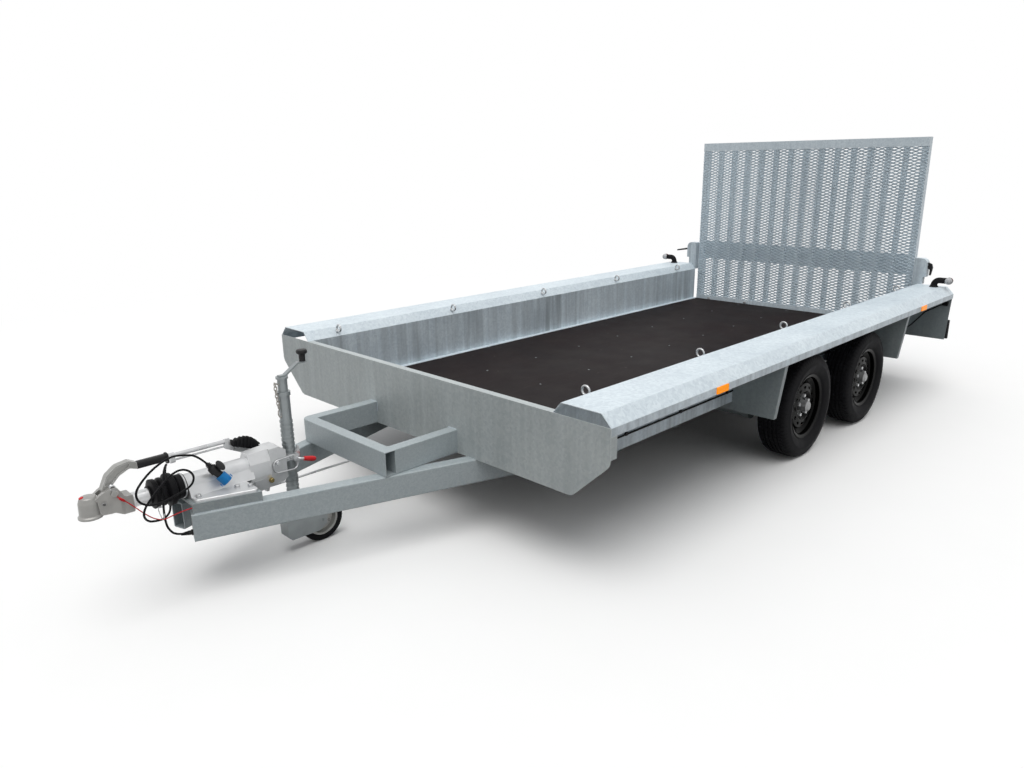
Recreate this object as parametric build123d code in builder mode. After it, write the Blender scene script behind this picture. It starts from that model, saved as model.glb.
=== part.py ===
from build123d import *
import os
from math import cos, pi, radians, sin, tan

# Tandem-axle machinery trailer with a full-width loading ramp at the rear.
# Millimetres. +X is the towing direction, +Y the left side, +Z up.
# The origin is on the floor, below the middle of the trailer's length and width.

# ---------------------------------------------------------------- driving sizes
HEAD_X = 1270.0           # front face of the headboard
BODY_LENGTH = 3870.0      # headboard face to the rear ends of the side rails
BED_WIDTH = 1800.0        # clear width between the side walls
OVERALL_WIDTH = 2368.0    # across the outer lips of the side rails
SHEET = 3.0               # folded sheet
BEND = 5.0                # outer bend radius of the folded sheet
BEND_INNER = BEND - SHEET
FACE = 0.3                # gap between pieces of different bodies that face each other

DECK_TOP = 405.0
DECK_THICK = 15.0
DECK_GAP = 6.0            # round the edge of the deck panel
EDGING_WIDTH = 35.0       # strip that clamps the deck along each wall

RAIL_TOP = 708.0          # flat top of the side rail
RAIL_KNEE = 660.0         # lower edge of both slopes
RAIL_LIP = 627.0          # lower edge of the outer lip
RAIL_SLOPE_IN = 41.0      # width of the inner slope
RAIL_SLOPE_OUT = 47.0     # width of the outer slope
LEDGE = 40.0              # inward flange below the deck

HEAD_FLANGE = 35.0        # rearward flange along the headboard's top
HEAD_FOOT = 1000.0        # half width of the headboard's lower edge
HEAD_SHOULDER = 514.0     # height where the slanting lower corners end
HEAD_CORNER = 45.0        # radius of the lower corners

BEAM_TOP = 342.0          # drawbar beams
BEAM_HEIGHT = 110.0
BEAM_WIDTH = 60.0
BEAM_WALL = 4.0
BEAM_CORNER = 6.0         # outer radius of the rectangular tubes' edges
BEAM_SPREAD = 451.8       # outer face of a beam from the middle, at the headboard
BEAM_ANGLE = 18.0         # each beam to the towing direction
BEAM_FRONT = 1098.0       # headboard face to the outer corner of the beams' front ends
BEAM_REAR = 720.0         # headboard face to the beams' rear ends

REST_HEIGHT = 110.0       # bucket rest in front of the headboard
REST_WIDTH = 55.0
REST_WALL = 4.0
REST_REACH = 390.0        # headboard face to the rest's front face
REST_HALF = 332.0         # half width of the rest
REST_CORNER = 40.0        # radius of the closed corner

CROSS_COUNT = 9           # crossmembers below the deck
CROSS_WIDTH = 45.0
CHASSIS_Y = 620.0         # middle of each longitudinal beam
CHASSIS_HEIGHT = 62.0
CHASSIS_WIDTH = 60.0

AXLE_MIDDLE = BODY_LENGTH - 1620.0          # headboard face to the middle of the axles
AXLE_GAP = 786.0
AXLES = {"front": AXLE_MIDDLE - AXLE_GAP / 2, "rear": AXLE_MIDDLE + AXLE_GAP / 2}
TRACK_HALF = 1020.0       # middle of the tyre from the middle of the trailer
TYRE_R = 287.5
TYRE_WIDTH = 177.0
TYRE_WALL = 11.0
BEAD_R = 165.0
RIM_WIDTH = 132.0         # over the rim's flanges
RIM_FLANGE_R = 178.0
RIM_WELL_R = 138.0
RIM_SHEET = 3.5
HUB_FACE = 32.0           # wheel's mounting face outboard of the tyre's middle
DRUM_R = 116.0
STUB_R = 20.0
HUB_CAP_R = 32.0
RUNNING = 0.05            # radial clearance of a running fit

AXLE_TUBE = 70.0          # across the flats of the hexagonal axle tube
AXLE_HALF = 800.0         # half length of the axle tube
ARM_REACH = 150.0         # tube centre ahead of the wheel centre
ARM_THICK = 46.0
BOSS_R = 46.0

RAMP_X = BODY_LENGTH + 30.0                 # headboard face to the ramp's mesh
RAMP_HALF = BED_WIDTH / 2 - 10.0
RAMP_TOP = 1720.0
RAMP_FOOT = 360.0
RAMP_DEPTH = 50.0         # frame depth behind the mesh
RAMP_BAR = 62.0           # height of the top bar
RAMP_SIDE = 45.0          # width of the side members
RAMP_WALL = 2.5           # wall of the frame's folded channels
RIB_PITCH = 122.5
RIB_WIDTH = 28.0
RIB_COUNT = 13
BAND_LOW = 755.0          # stiffening band across the ramp
BAND_HIGH = 905.0
MESH_THICK = 3.0
MESH_COLUMNS = 14         # openings across, in the full rows
MESH_ROWS = 16
STRAND = 16.0             # width of a strand of the mesh
HINGE_DROP = 25.0         # hinge axis below the ramp's foot
HINGE_BACK = 10.0         # hinge axis behind the ramp's frame
HINGE_PIN_R = 9.0
EAR_R = 16.0
EAR_THICK = 10.0
EAR_GAP = 0.5             # between an ear and the knuckle beside it
HINGE_Y = (-550.0, 0.0, 550.0)

JOCKEY_X = 635.0          # headboard face to the jockey tube's axis
JOCKEY_TUBE_R = 24.0
JOCKEY_TUBE_TOP = 702.0
JOCKEY_TUBE_FOOT = 236.0
JOCKEY_LEG_R = 20.0
JOCKEY_FORK_TOP = 205.0
JOCKEY_TRAIL = 114.0
JOCKEY_WHEEL_R = 100.0
JOCKEY_WHEEL_WIDTH = 50.0
FORK_PLATE = 4.0
FORK_HALF = 33.0          # outer half width of the fork

SHAFT_Z = 430.0           # axis of the overrun shaft
SHAFT_R = 28.0
HOUSING_R = 40.0
SPACER_HEIGHT = 40.0      # block between the beams and the overrun housing

RING_COUNT = 5            # tie rings on each rail
RING_FIRST = 200.0        # headboard face to the first ring
RING_LAST = 286.0         # last ring to the rail's rear end
RING_R = 19.0
RING_WIRE_R = 5.0

# ---------------------------------------------------------------- derived sizes
REAR_X = HEAD_X - BODY_LENGTH
WALL_Y = BED_WIDTH / 2
OUTER_Y = OVERALL_WIDTH / 2
DECK_FOOT = DECK_TOP - DECK_THICK
BEAM_FOOT = BEAM_TOP - BEAM_HEIGHT
AXLE_Z = TYRE_R
AXLE_TUBE_Z = BEAM_TOP - CHASSIS_HEIGHT - AXLE_TUBE / 2
RAMP_FACE_X = HEAD_X - RAMP_X
FRAME_FACE_X = RAMP_FACE_X - MESH_THICK
RAMP_BACK_X = FRAME_FACE_X - RAMP_DEPTH
HINGE_X = RAMP_BACK_X - HINGE_BACK
HINGE_Z = RAMP_FOOT - HINGE_DROP
JOCKEY_AXIS_X = HEAD_X + JOCKEY_X
JOCKEY_HUB_X = JOCKEY_AXIS_X - JOCKEY_TRAIL
SPACER_TOP = BEAM_TOP + SPACER_HEIGHT
RING_PITCH = (BODY_LENGTH - RING_FIRST - RING_LAST) / (RING_COUNT - 1)
RING_STATIONS = [RING_FIRST + index * RING_PITCH for index in range(RING_COUNT)]
SIDES = {"left": 1, "right": -1}

os.makedirs("parts", exist_ok=True)


def write(piece, name):
    """Label one finished sub-part and write it to its own STEP file."""
    piece.label = name
    export_step(piece, f"parts/{name}.step")


def ahead(distance):
    """X of a plane at a distance in front of the headboard (negative: behind it)."""
    return HEAD_X + distance


def side_plane(y=0.0):
    """Plane across the trailer's width: local x is -X, local y is +Z, normal is +Y."""
    return Plane(origin=(0, y, 0), x_dir=(-1, 0, 0), z_dir=(0, 1, 0))


def wheel_plane(x, z, side):
    """Plane through a wheel's axis: local x runs outboard along Y, local y is radial."""
    return Plane(origin=(x, 0, z), x_dir=(0, side, 0), z_dir=(side, 0, 0))


def folded_sheet(points):
    """Draw a folded sheet's outline; its second face lies right of the way the points run."""
    corners = [Vector(*point) for point in points]
    ways = [(after - before).normalized() for before, after in zip(corners, corners[1:])]
    rights = [way.cross(Vector(0, 0, 1)) for way in ways]
    second = [
        corner + (near + far) * (SHEET / (1 + near.dot(far)))
        for corner, near, far in zip(corners, rights[:1] + rights, rights + rights[-1:])
    ]
    left_turns = [before.cross(after).Z > 0 for before, after in zip(ways, ways[1:])]
    near_face = FilletPolyline(*corners, radius=[BEND_INNER if left else BEND for left in left_turns])
    far_face = FilletPolyline(*second, radius=[BEND if left else BEND_INNER for left in left_turns])
    Line(near_face @ 0, far_face @ 0)
    Line(near_face @ 1, far_face @ 1)


def beam_edge(distance, inset):
    """Y of the left drawbar beam's outer face, moved inboard by inset across the beam."""
    slope = tan(radians(BEAM_ANGLE))
    return BEAM_SPREAD - distance * slope - inset / cos(radians(BEAM_ANGLE))


def beam_end(front, inset):
    """Corner in plan of a cut square across the left beam, inset from its outer face."""
    lean = radians(BEAM_ANGLE)
    return ahead(front) - inset * sin(lean), beam_edge(front, 0.0) - inset * cos(lean)


def beam_plan(front, rear, near, far):
    """Corners in plan of a strip along the left beam, its front cut square across the beam."""
    return [
        beam_end(front, near),
        (ahead(rear), beam_edge(rear, near)),
        (ahead(rear), beam_edge(rear, far)),
        beam_end(front, far),
    ]


# ---------------------------------------------------------------- body
SILL_STRIP = 53.0         # height of the strip along the wall's foot
SILL_PROUD = 6.0
PLATE_STATIONS = {"front": AXLE_MIDDLE - 890.0, "rear": AXLE_MIDDLE + 765.0}   # splash plates
RAIL_POINTS = [
    (WALL_Y - LEDGE, DECK_FOOT),
    (WALL_Y, DECK_FOOT),
    (WALL_Y, RAIL_KNEE),
    (WALL_Y + RAIL_SLOPE_IN, RAIL_TOP),
    (OUTER_Y - RAIL_SLOPE_OUT, RAIL_TOP),
    (OUTER_Y, RAIL_KNEE),
    (OUTER_Y, RAIL_LIP),
]
for name, side in SIDES.items():
    # One folded sheet: ledge under the deck, bed wall, hat-shaped rail and outer lip.
    with BuildPart() as side_wall:
        with BuildSketch(Plane.YZ.offset(REAR_X)):
            with BuildLine():
                folded_sheet([(side * y, z) for y, z in RAIL_POINTS[::side]])
            make_face()
        extrude(amount=BODY_LENGTH - SHEET)
        # Sill strip along the wall's foot, from the headboard to the splash plate.
        with BuildSketch(Plane.YZ.offset(ahead(-PLATE_STATIONS["front"]) + FACE)):
            with Locations((side * (WALL_Y + SHEET + SILL_PROUD / 2), DECK_FOOT + SILL_STRIP / 2)):
                Rectangle(SILL_PROUD, SILL_STRIP)
        extrude(amount=PLATE_STATIONS["front"] - SHEET - 2 * FACE)
    write(side_wall.part, f"side_wall_{name}")

# Deck panel on the ledges and crossmembers.
DECK_REAR_X = REAR_X + SHEET
with BuildPart() as deck:
    with BuildSketch(Plane.XY.offset(DECK_FOOT)):
        with Locations(((HEAD_X - SHEET - DECK_GAP + DECK_REAR_X) / 2, 0)):
            Rectangle(HEAD_X - SHEET - DECK_GAP - DECK_REAR_X, BED_WIDTH - 2 * DECK_GAP)
    extrude(amount=DECK_THICK)
write(deck.part, "deck_panel")

# Strips that clamp the deck's long edges.
with BuildPart() as edging:
    with BuildSketch(Plane.XY.offset(DECK_TOP)):
        with Locations(*[
            ((HEAD_X - SHEET - DECK_GAP + DECK_REAR_X) / 2, s * (WALL_Y - EDGING_WIDTH / 2 - FACE))
            for s in SIDES.values()
        ]):
            Rectangle(HEAD_X - SHEET - DECK_GAP - DECK_REAR_X, EDGING_WIDTH)
    extrude(amount=SHEET)
write(edging.part, "deck_edging")

# Headboard: flat sheet with slanting lower corners, a top flange and short side returns.
HEAD_OUTLINE = [
    (HEAD_FOOT, BEAM_TOP),
    (OUTER_Y, HEAD_SHOULDER),
    (OUTER_Y, RAIL_KNEE),
    (-OUTER_Y, RAIL_KNEE),
    (-OUTER_Y, HEAD_SHOULDER),
    (-HEAD_FOOT, BEAM_TOP),
]
RETURN_DEPTH = 38.0
with BuildPart() as headboard:
    with BuildSketch(Plane.YZ.offset(HEAD_X - SHEET)):
        with BuildLine():
            FilletPolyline(
                *HEAD_OUTLINE,
                radius=[HEAD_CORNER, HEAD_CORNER, BEND, BEND, HEAD_CORNER, HEAD_CORNER],
                close=True,
            )
        make_face()
    extrude(amount=SHEET)
    with BuildSketch(Plane.XY.offset(RAIL_KNEE)):
        with Locations((HEAD_X - HEAD_FLANGE / 2, 0)):
            Rectangle(HEAD_FLANGE, BED_WIDTH - 2 * FACE)
    extrude(amount=-SHEET)
    with BuildSketch(Plane.XZ.offset(-OUTER_Y)):
        with Locations((HEAD_X - RETURN_DEPTH / 2, (HEAD_SHOULDER + HEAD_CORNER / 2 + RAIL_LIP) / 2)):
            Rectangle(RETURN_DEPTH, RAIL_LIP - HEAD_SHOULDER - HEAD_CORNER / 2 - FACE)
    extrude(amount=SHEET)
    with BuildSketch(Plane.XZ.offset(OUTER_Y)):
        with Locations((HEAD_X - RETURN_DEPTH / 2, (HEAD_SHOULDER + HEAD_CORNER / 2 + RAIL_LIP) / 2)):
            Rectangle(RETURN_DEPTH, RAIL_LIP - HEAD_SHOULDER - HEAD_CORNER / 2 - FACE)
    extrude(amount=-SHEET)
write(headboard.part, "headboard")

# Crossmembers: channels open to the rear, between the two ledges, ends cut upwards.
CROSS_HEIGHT = DECK_FOOT - BEAM_TOP
CROSS_HALF = WALL_Y - LEDGE - FACE
CROSS_CUT = 14.0          # slanting cut across the lower corners of the ends
CROSS_START = 28.0        # headboard face to the first crossmember
CROSS_PITCH = (BODY_LENGTH - 260.0) / (CROSS_COUNT - 1)
with BuildPart() as crossmembers:
    for index in range(CROSS_COUNT):
        front_x = ahead(-CROSS_START) - index * CROSS_PITCH
        with BuildSketch(Plane.YZ.offset(front_x)):
            Polygon(
                (-CROSS_HALF, DECK_FOOT),
                (-CROSS_HALF, BEAM_TOP + CROSS_CUT),
                (-CROSS_HALF + CROSS_CUT, BEAM_TOP),
                (CROSS_HALF - CROSS_CUT, BEAM_TOP),
                (CROSS_HALF, BEAM_TOP + CROSS_CUT),
                (CROSS_HALF, DECK_FOOT),
                align=None,
            )
        extrude(amount=-CROSS_WIDTH)
        with BuildSketch(Plane.XZ):
            with Locations((front_x - SHEET - CROSS_WIDTH / 2, (DECK_FOOT + BEAM_TOP) / 2)):
                Rectangle(CROSS_WIDTH, CROSS_HEIGHT - 2 * SHEET)
        extrude(amount=OUTER_Y, both=True, mode=Mode.SUBTRACT)
write(crossmembers.part, "crossmembers")

# Longitudinal chassis beams that carry the axles, and the cross tube they start from.
CHASSIS_FRONT = -BEAM_REAR
CHASSIS_REAR = -3180.0
CHASSIS_FOOT = BEAM_TOP - CHASSIS_HEIGHT
with BuildPart() as chassis:
    for s in SIDES.values():
        with BuildSketch(Plane.YZ.offset(ahead(CHASSIS_REAR))):
            with Locations((s * CHASSIS_Y, (BEAM_TOP + CHASSIS_FOOT) / 2)):
                Rectangle(CHASSIS_WIDTH, CHASSIS_HEIGHT)
                Rectangle(
                    CHASSIS_WIDTH - 2 * BEAM_WALL, CHASSIS_HEIGHT - 2 * BEAM_WALL, mode=Mode.SUBTRACT
                )
        extrude(amount=CHASSIS_FRONT - CHASSIS_REAR)
    with BuildSketch(Plane.XZ):
        with Locations((ahead(CHASSIS_FRONT) - CHASSIS_WIDTH / 2, (BEAM_TOP + CHASSIS_FOOT) / 2)):
            Rectangle(CHASSIS_WIDTH, CHASSIS_HEIGHT)
    extrude(amount=CHASSIS_Y + CHASSIS_WIDTH / 2, both=True)
write(chassis.part, "chassis_beams")

# Drawbar: two rectangular tubes that meet at 18 degrees each, open at the front.
for name, side in SIDES.items():
    with BuildPart() as drawbar:
        with BuildSketch(Plane.XY.offset(BEAM_FOOT)):
            plan = beam_plan(BEAM_FRONT, -BEAM_REAR, 0.0, BEAM_WIDTH)
            Polygon(*[(x, side * y) for x, y in plan], align=None)
        extrude(amount=BEAM_HEIGHT)
        fillet(drawbar.edges().sort_by(SortBy.LENGTH)[-4:], BEAM_CORNER)
        with BuildSketch(Plane.XY.offset(BEAM_FOOT + BEAM_WALL)):
            hollow = beam_plan(BEAM_FRONT + 1.0, -BEAM_REAR - 1.0, BEAM_WALL, BEAM_WIDTH - BEAM_WALL)
            Polygon(*[(x, side * y) for x, y in hollow], align=None)
        extrude(amount=BEAM_HEIGHT - 2 * BEAM_WALL, mode=Mode.SUBTRACT)
        with BuildSketch(Plane.XZ):
            Polygon(
                (ahead(-BEAM_REAR) - 1.0, BEAM_FOOT - 1.0),
                (ahead(-BEAM_REAR + 170.0), BEAM_FOOT - 1.0),
                (ahead(-BEAM_REAR) - 1.0, CHASSIS_FOOT),
                align=None,
            )
        extrude(amount=OUTER_Y, both=True, mode=Mode.SUBTRACT)
    write(drawbar.part, f"drawbar_{name}")

# Bucket rest: front tube with one rounded end and one open end, and two arms.
REST_Z = BEAM_TOP + REST_HEIGHT / 2
REST_INNER = REST_REACH - REST_WIDTH
with BuildPart() as bucket_rest:
    with BuildSketch(Plane.XY.offset(BEAM_TOP)):
        with BuildLine():
            FilletPolyline(
                (ahead(REST_REACH), REST_HALF),
                (ahead(REST_REACH), -REST_HALF),
                (HEAD_X, -REST_HALF),
                (HEAD_X, -REST_HALF + REST_WIDTH),
                (ahead(REST_INNER), -REST_HALF + REST_WIDTH),
                (ahead(REST_INNER), REST_HALF - REST_WIDTH),
                (HEAD_X, REST_HALF - REST_WIDTH),
                (HEAD_X, REST_HALF),
                radius=[0.0, REST_CORNER, 0.0, 0.0, BEND, BEND, 0.0, 0.0],
                close=True,
            )
        make_face()
    extrude(amount=REST_HEIGHT)
    fillet(bucket_rest.faces().sort_by(Axis.Z)[-1].edges(), REST_WALL)
    fillet(bucket_rest.faces().sort_by(Axis.Z)[0].edges(), REST_WALL)
    # Hollow front tube, open at its left end, and hollow arms behind it.
    with BuildSketch(Plane.XZ.offset(REST_HALF - 2 * REST_CORNER)):
        with Locations((ahead(REST_REACH - REST_WIDTH / 2), REST_Z)):
            Rectangle(REST_WIDTH - 2 * REST_WALL, REST_HEIGHT - 2 * REST_WALL)
    extrude(amount=-2 * REST_HALF, mode=Mode.SUBTRACT)
    with BuildSketch(Plane.YZ.offset(ahead(-1.0))):
        with Locations(*[(s * (REST_HALF - REST_WIDTH / 2), REST_Z) for s in SIDES.values()]):
            Rectangle(REST_WIDTH - 2 * REST_WALL, REST_HEIGHT - 2 * REST_WALL)
    extrude(amount=REST_INNER + 1.0 - REST_WALL, mode=Mode.SUBTRACT)
write(bucket_rest.part, "bucket_rest")

# Splash plates ahead of and behind each pair of wheels, flanged along the outer edge.
PLATE_FOOT = 345.0
PLATE_OUTER = 1141.0
LEAD_R = 4.0              # lamp lead along the wall, above the sill strip
LEAD_Y = WALL_Y + SHEET + LEAD_R + FACE
LEAD_Z = DECK_FOOT + SILL_STRIP + LEAD_R + FACE
with BuildPart() as splash:
    for side in SIDES.values():
        for station in PLATE_STATIONS.values():
            with BuildSketch(Plane.YZ.offset(ahead(-station))):
                Polygon(*[(side * y, z) for y, z in [
                    (WALL_Y + SHEET, DECK_FOOT),
                    (WALL_Y + SHEET, RAIL_KNEE - BEND),
                    (WALL_Y + RAIL_SLOPE_IN, RAIL_TOP - SHEET - BEND),
                    (OUTER_Y - RAIL_SLOPE_OUT, RAIL_TOP - SHEET - BEND),
                    (OUTER_Y - SHEET - 2.0, RAIL_KNEE - BEND),
                    (OUTER_Y - SHEET - 2.0, RAIL_LIP),
                    (PLATE_OUTER, PLATE_FOOT),
                    (WALL_Y - 65.0, PLATE_FOOT),
                    (WALL_Y - 65.0, BEAM_TOP + 10.0),
                    (WALL_Y + SHEET, DECK_FOOT - SHEET - 2.0),
                ]], align=None)
                with Locations((side * LEAD_Y, LEAD_Z)):
                    Circle(LEAD_R + 2.0, mode=Mode.SUBTRACT)
            extrude(amount=-SHEET)
            with BuildSketch(Plane.YZ.offset(ahead(-station))):
                Polygon(*[(side * y, z) for y, z in [
                    (OUTER_Y - SHEET - 2.0, RAIL_LIP),
                    (PLATE_OUTER, PLATE_FOOT),
                    (PLATE_OUTER - SHEET, PLATE_FOOT),
                    (OUTER_Y - 2 * SHEET - 2.0, RAIL_LIP),
                ]], align=None)
            extrude(amount=-30.0)
write(splash.part, "splash_plates")

# Rear panel: lamp boards under both rails, joined by the sill below the deck's end.
PANEL_FOOT = 330.0
EAR_Y = [y + s * (EAR_THICK + EAR_GAP) for y in HINGE_Y for s in SIDES.values()]
with BuildPart() as rear_panel:
    with BuildSketch(Plane.YZ.offset(REAR_X)):
        Polygon(
            (WALL_Y + SHEET + 1.0, RAIL_KNEE - BEND),
            (WALL_Y + RAIL_SLOPE_IN, RAIL_TOP - SHEET - BEND),
            (OUTER_Y - RAIL_SLOPE_OUT, RAIL_TOP - SHEET - BEND),
            (OUTER_Y - SHEET - 1.0, RAIL_KNEE - BEND),
            (OUTER_Y - SHEET - 1.0, RAIL_LIP),
            (OUTER_Y - 18.0, PANEL_FOOT),
            (-OUTER_Y + 18.0, PANEL_FOOT),
            (-OUTER_Y + SHEET + 1.0, RAIL_LIP),
            (-OUTER_Y + SHEET + 1.0, RAIL_KNEE - BEND),
            (-OUTER_Y + RAIL_SLOPE_OUT, RAIL_TOP - SHEET - BEND),
            (-WALL_Y - RAIL_SLOPE_IN, RAIL_TOP - SHEET - BEND),
            (-WALL_Y - SHEET - 1.0, RAIL_KNEE - BEND),
            (-WALL_Y - SHEET - 1.0, DECK_FOOT - SHEET),
            (WALL_Y + SHEET + 1.0, DECK_FOOT - SHEET),
            align=None,
        )
    extrude(amount=SHEET)
    with BuildSketch(Plane.YZ.offset(REAR_X)):
        with Locations((0, PANEL_FOOT + SHEET / 2)):
            Rectangle(2 * WALL_Y, SHEET)
    extrude(amount=30.0)
    for y in EAR_Y:
        with BuildSketch(side_plane(y - EAR_THICK / 2)):
            with BuildLine():
                Polyline(
                    (-HINGE_X, HINGE_Z + EAR_R),
                    (-REAR_X, HINGE_Z + EAR_R),
                    (-REAR_X, HINGE_Z - EAR_R),
                    (-HINGE_X, HINGE_Z - EAR_R),
                )
                ThreePointArc(
                    (-HINGE_X, HINGE_Z - EAR_R),
                    (-HINGE_X + EAR_R, HINGE_Z),
                    (-HINGE_X, HINGE_Z + EAR_R),
                )
            make_face()
            with Locations((-HINGE_X, HINGE_Z)):
                Circle(HINGE_PIN_R + RUNNING, mode=Mode.SUBTRACT)
        extrude(amount=EAR_THICK)
write(rear_panel.part, "rear_panel")

# Tail lamps on the rear face of the lamp boards.
LAMP_INBOARD = 52.0       # from the wall's plane out to a lamp's inner end
LAMP_WIDTH = OUTER_Y - WALL_Y - LAMP_INBOARD
LAMP_Y = OUTER_Y - LAMP_WIDTH / 2
LAMP_Z = 405.0
LAMP_HEIGHT = 135.0
LAMP_DEPTH = 42.0
with BuildPart() as tail_lamps:
    for s in SIDES.values():
        with BuildSketch(Plane.YZ.offset(REAR_X)):
            with Locations((s * LAMP_Y, LAMP_Z)):
                RectangleRounded(LAMP_WIDTH, LAMP_HEIGHT, 12.0)
        extrude(amount=-LAMP_DEPTH)
    fillet(tail_lamps.faces().sort_by(Axis.X)[:2].edges(), 6.0)
write(tail_lamps.part, "tail_lamps")

# Marker lamps on bent rubber arms, near the rear ends of the rails.
STALK_X = REAR_X + 75.0
STALK_Y = 1072.0
STALK_R = 11.0
STALK_RISE = 48.0
STALK_OUT = 92.0
with BuildPart() as stalks:
    for s in SIDES.values():
        with BuildSketch(Plane.XY.offset(RAIL_TOP)):
            with Locations((STALK_X, s * STALK_Y)):
                Circle(19.0)
        extrude(amount=6.0)
        with BuildLine() as arm:
            FilletPolyline(
                (STALK_X, s * STALK_Y, RAIL_TOP + 5.0),
                (STALK_X, s * STALK_Y, RAIL_TOP + STALK_RISE),
                (STALK_X, s * (STALK_Y + STALK_OUT), RAIL_TOP + STALK_RISE),
                radius=30.0,
            )
        with BuildSketch(Plane(origin=arm.line @ 0, z_dir=arm.line % 0)):
            Circle(STALK_R)
        sweep(path=arm.line)
write(stalks.part, "marker_stalks")

with BuildPart() as marker_lenses:
    for s in SIDES.values():
        with BuildSketch(
            Plane(origin=(STALK_X, s * (STALK_Y + STALK_OUT), RAIL_TOP + STALK_RISE), z_dir=(0, s, 0))
        ):
            Circle(STALK_R + 5.0)
        extrude(amount=24.0)
    fillet(marker_lenses.edges().filter_by(GeomType.CIRCLE), 5.0)
write(marker_lenses.part, "marker_lenses")

# Amber reflectors on the rails' outer lips.
MARKER_LONG = 92.0
MARKER_HIGH = 30.0
MARKER_Z = (RAIL_LIP + RAIL_KNEE) / 2
MARKER_STATIONS = (766.0, BODY_LENGTH - 600.0)
with BuildPart() as side_markers:
    for s in SIDES.values():
        with BuildSketch(Plane.XZ.offset(-s * OUTER_Y)):
            with Locations(*[(ahead(-station), MARKER_Z) for station in MARKER_STATIONS]):
                RectangleRounded(MARKER_LONG, MARKER_HIGH, 3.0)
        extrude(amount=-s * 5.0)
write(side_markers.part, "side_markers")

# Tie rings: round-bar eyes standing on the rails' inner slopes, each on a short foot.
SLOPE_FALL = RAIL_TOP - RAIL_KNEE
for name, side in SIDES.items():
    outward = Vector(0, -side * SLOPE_FALL, RAIL_SLOPE_IN).normalized()
    with BuildPart() as rings:
        for station in RING_STATIONS:
            foot = Vector(
                ahead(-station), side * (WALL_Y + RAIL_SLOPE_IN / 2), (RAIL_KNEE + RAIL_TOP) / 2
            )
            with BuildSketch(Plane(origin=foot, z_dir=outward)):
                Circle(2 * RING_WIRE_R)
            extrude(amount=2 * RING_WIRE_R)
            eye = foot + outward * (RING_R + 2 * RING_WIRE_R)
            with Locations(Plane(origin=eye, x_dir=outward, z_dir=(1, 0, 0))):
                Torus(RING_R, RING_WIRE_R)
    write(rings.part, f"tie_rings_{name}")

# Latch posts beside the ramp: folded channels with a rounded outer shoulder.
POST_Y = (RAMP_HALF + 12.0, RAMP_HALF + 78.0)
POST_TOP = 890.0
POST_SHOULDER = 22.0      # how far the post's head stands outboard of its foot
POST_DEPTH = 50.0
with BuildPart() as posts:
    for s in SIDES.values():
        with BuildSketch(Plane.YZ.offset(REAR_X)):
            with BuildLine():
                FilletPolyline(
                    *[(s * y, z) for y, z in [
                        (POST_Y[0], RAIL_KNEE),
                        (POST_Y[0], POST_TOP),
                        (POST_Y[1] + POST_SHOULDER, POST_TOP),
                        (POST_Y[1] + POST_SHOULDER, POST_TOP - 130.0),
                        (POST_Y[1], POST_TOP - 130.0),
                        (POST_Y[1], RAIL_TOP),
                    ]],
                    radius=[0.0, 6.0, 40.0, 2.0, 2.0, 0.0],
                    close=True,
                )
            make_face()
        extrude(amount=-POST_DEPTH)
        with BuildSketch(Plane.YZ.offset(REAR_X - SHEET)):
            with BuildLine():
                FilletPolyline(
                    *[(s * y, z) for y, z in [
                        (POST_Y[0] + SHEET, RAIL_KNEE - 50.0),
                        (POST_Y[0] + SHEET, POST_TOP - SHEET),
                        (POST_Y[1] + POST_SHOULDER - SHEET, POST_TOP - SHEET),
                        (POST_Y[1] + POST_SHOULDER - SHEET, POST_TOP - 130.0 + SHEET),
                        (POST_Y[1] - SHEET, POST_TOP - 130.0 + SHEET),
                        (POST_Y[1] - SHEET, RAIL_KNEE - 50.0),
                    ]],
                    radius=[0.0, 4.0, 37.0, 0.0, 0.0, 0.0],
                    close=True,
                )
            make_face()
        extrude(amount=-POST_DEPTH, mode=Mode.SUBTRACT)
write(posts.part, "latch_posts")

# Latch levers: the right one stands outwards, the left one hangs folded against its post.
LATCH_X = REAR_X - 22.0
LATCH_ROOT_Y = POST_Y[1] + POST_SHOULDER
LATCH_REACH = 113.0
with BuildPart() as levers:
    with BuildSketch(Plane(origin=(LATCH_X, -LATCH_ROOT_Y, 832.0), z_dir=(0, -1, 0))):
        RectangleRounded(16.0, 40.0, 5.0)
    with BuildSketch(Plane(origin=(LATCH_X, -LATCH_ROOT_Y - LATCH_REACH, 812.0), z_dir=(0, -1, 0))):
        RectangleRounded(12.0, 22.0, 4.0)
    loft()
    with BuildSketch(Plane.YZ.offset(LATCH_X - 8.0)):
        with BuildLine():
            Polyline(
                (LATCH_ROOT_Y, 862.0),
                (LATCH_ROOT_Y + 24.0, 852.0),
                (LATCH_ROOT_Y + 32.0, 826.0),
                (LATCH_ROOT_Y + 24.0, 772.0),
                (LATCH_ROOT_Y + 14.0, 772.0),
                (LATCH_ROOT_Y + 14.0, 812.0),
                (LATCH_ROOT_Y, 822.0),
                close=True,
            )
        make_face()
    extrude(amount=16.0)
write(levers.part, "latch_levers")

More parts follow.
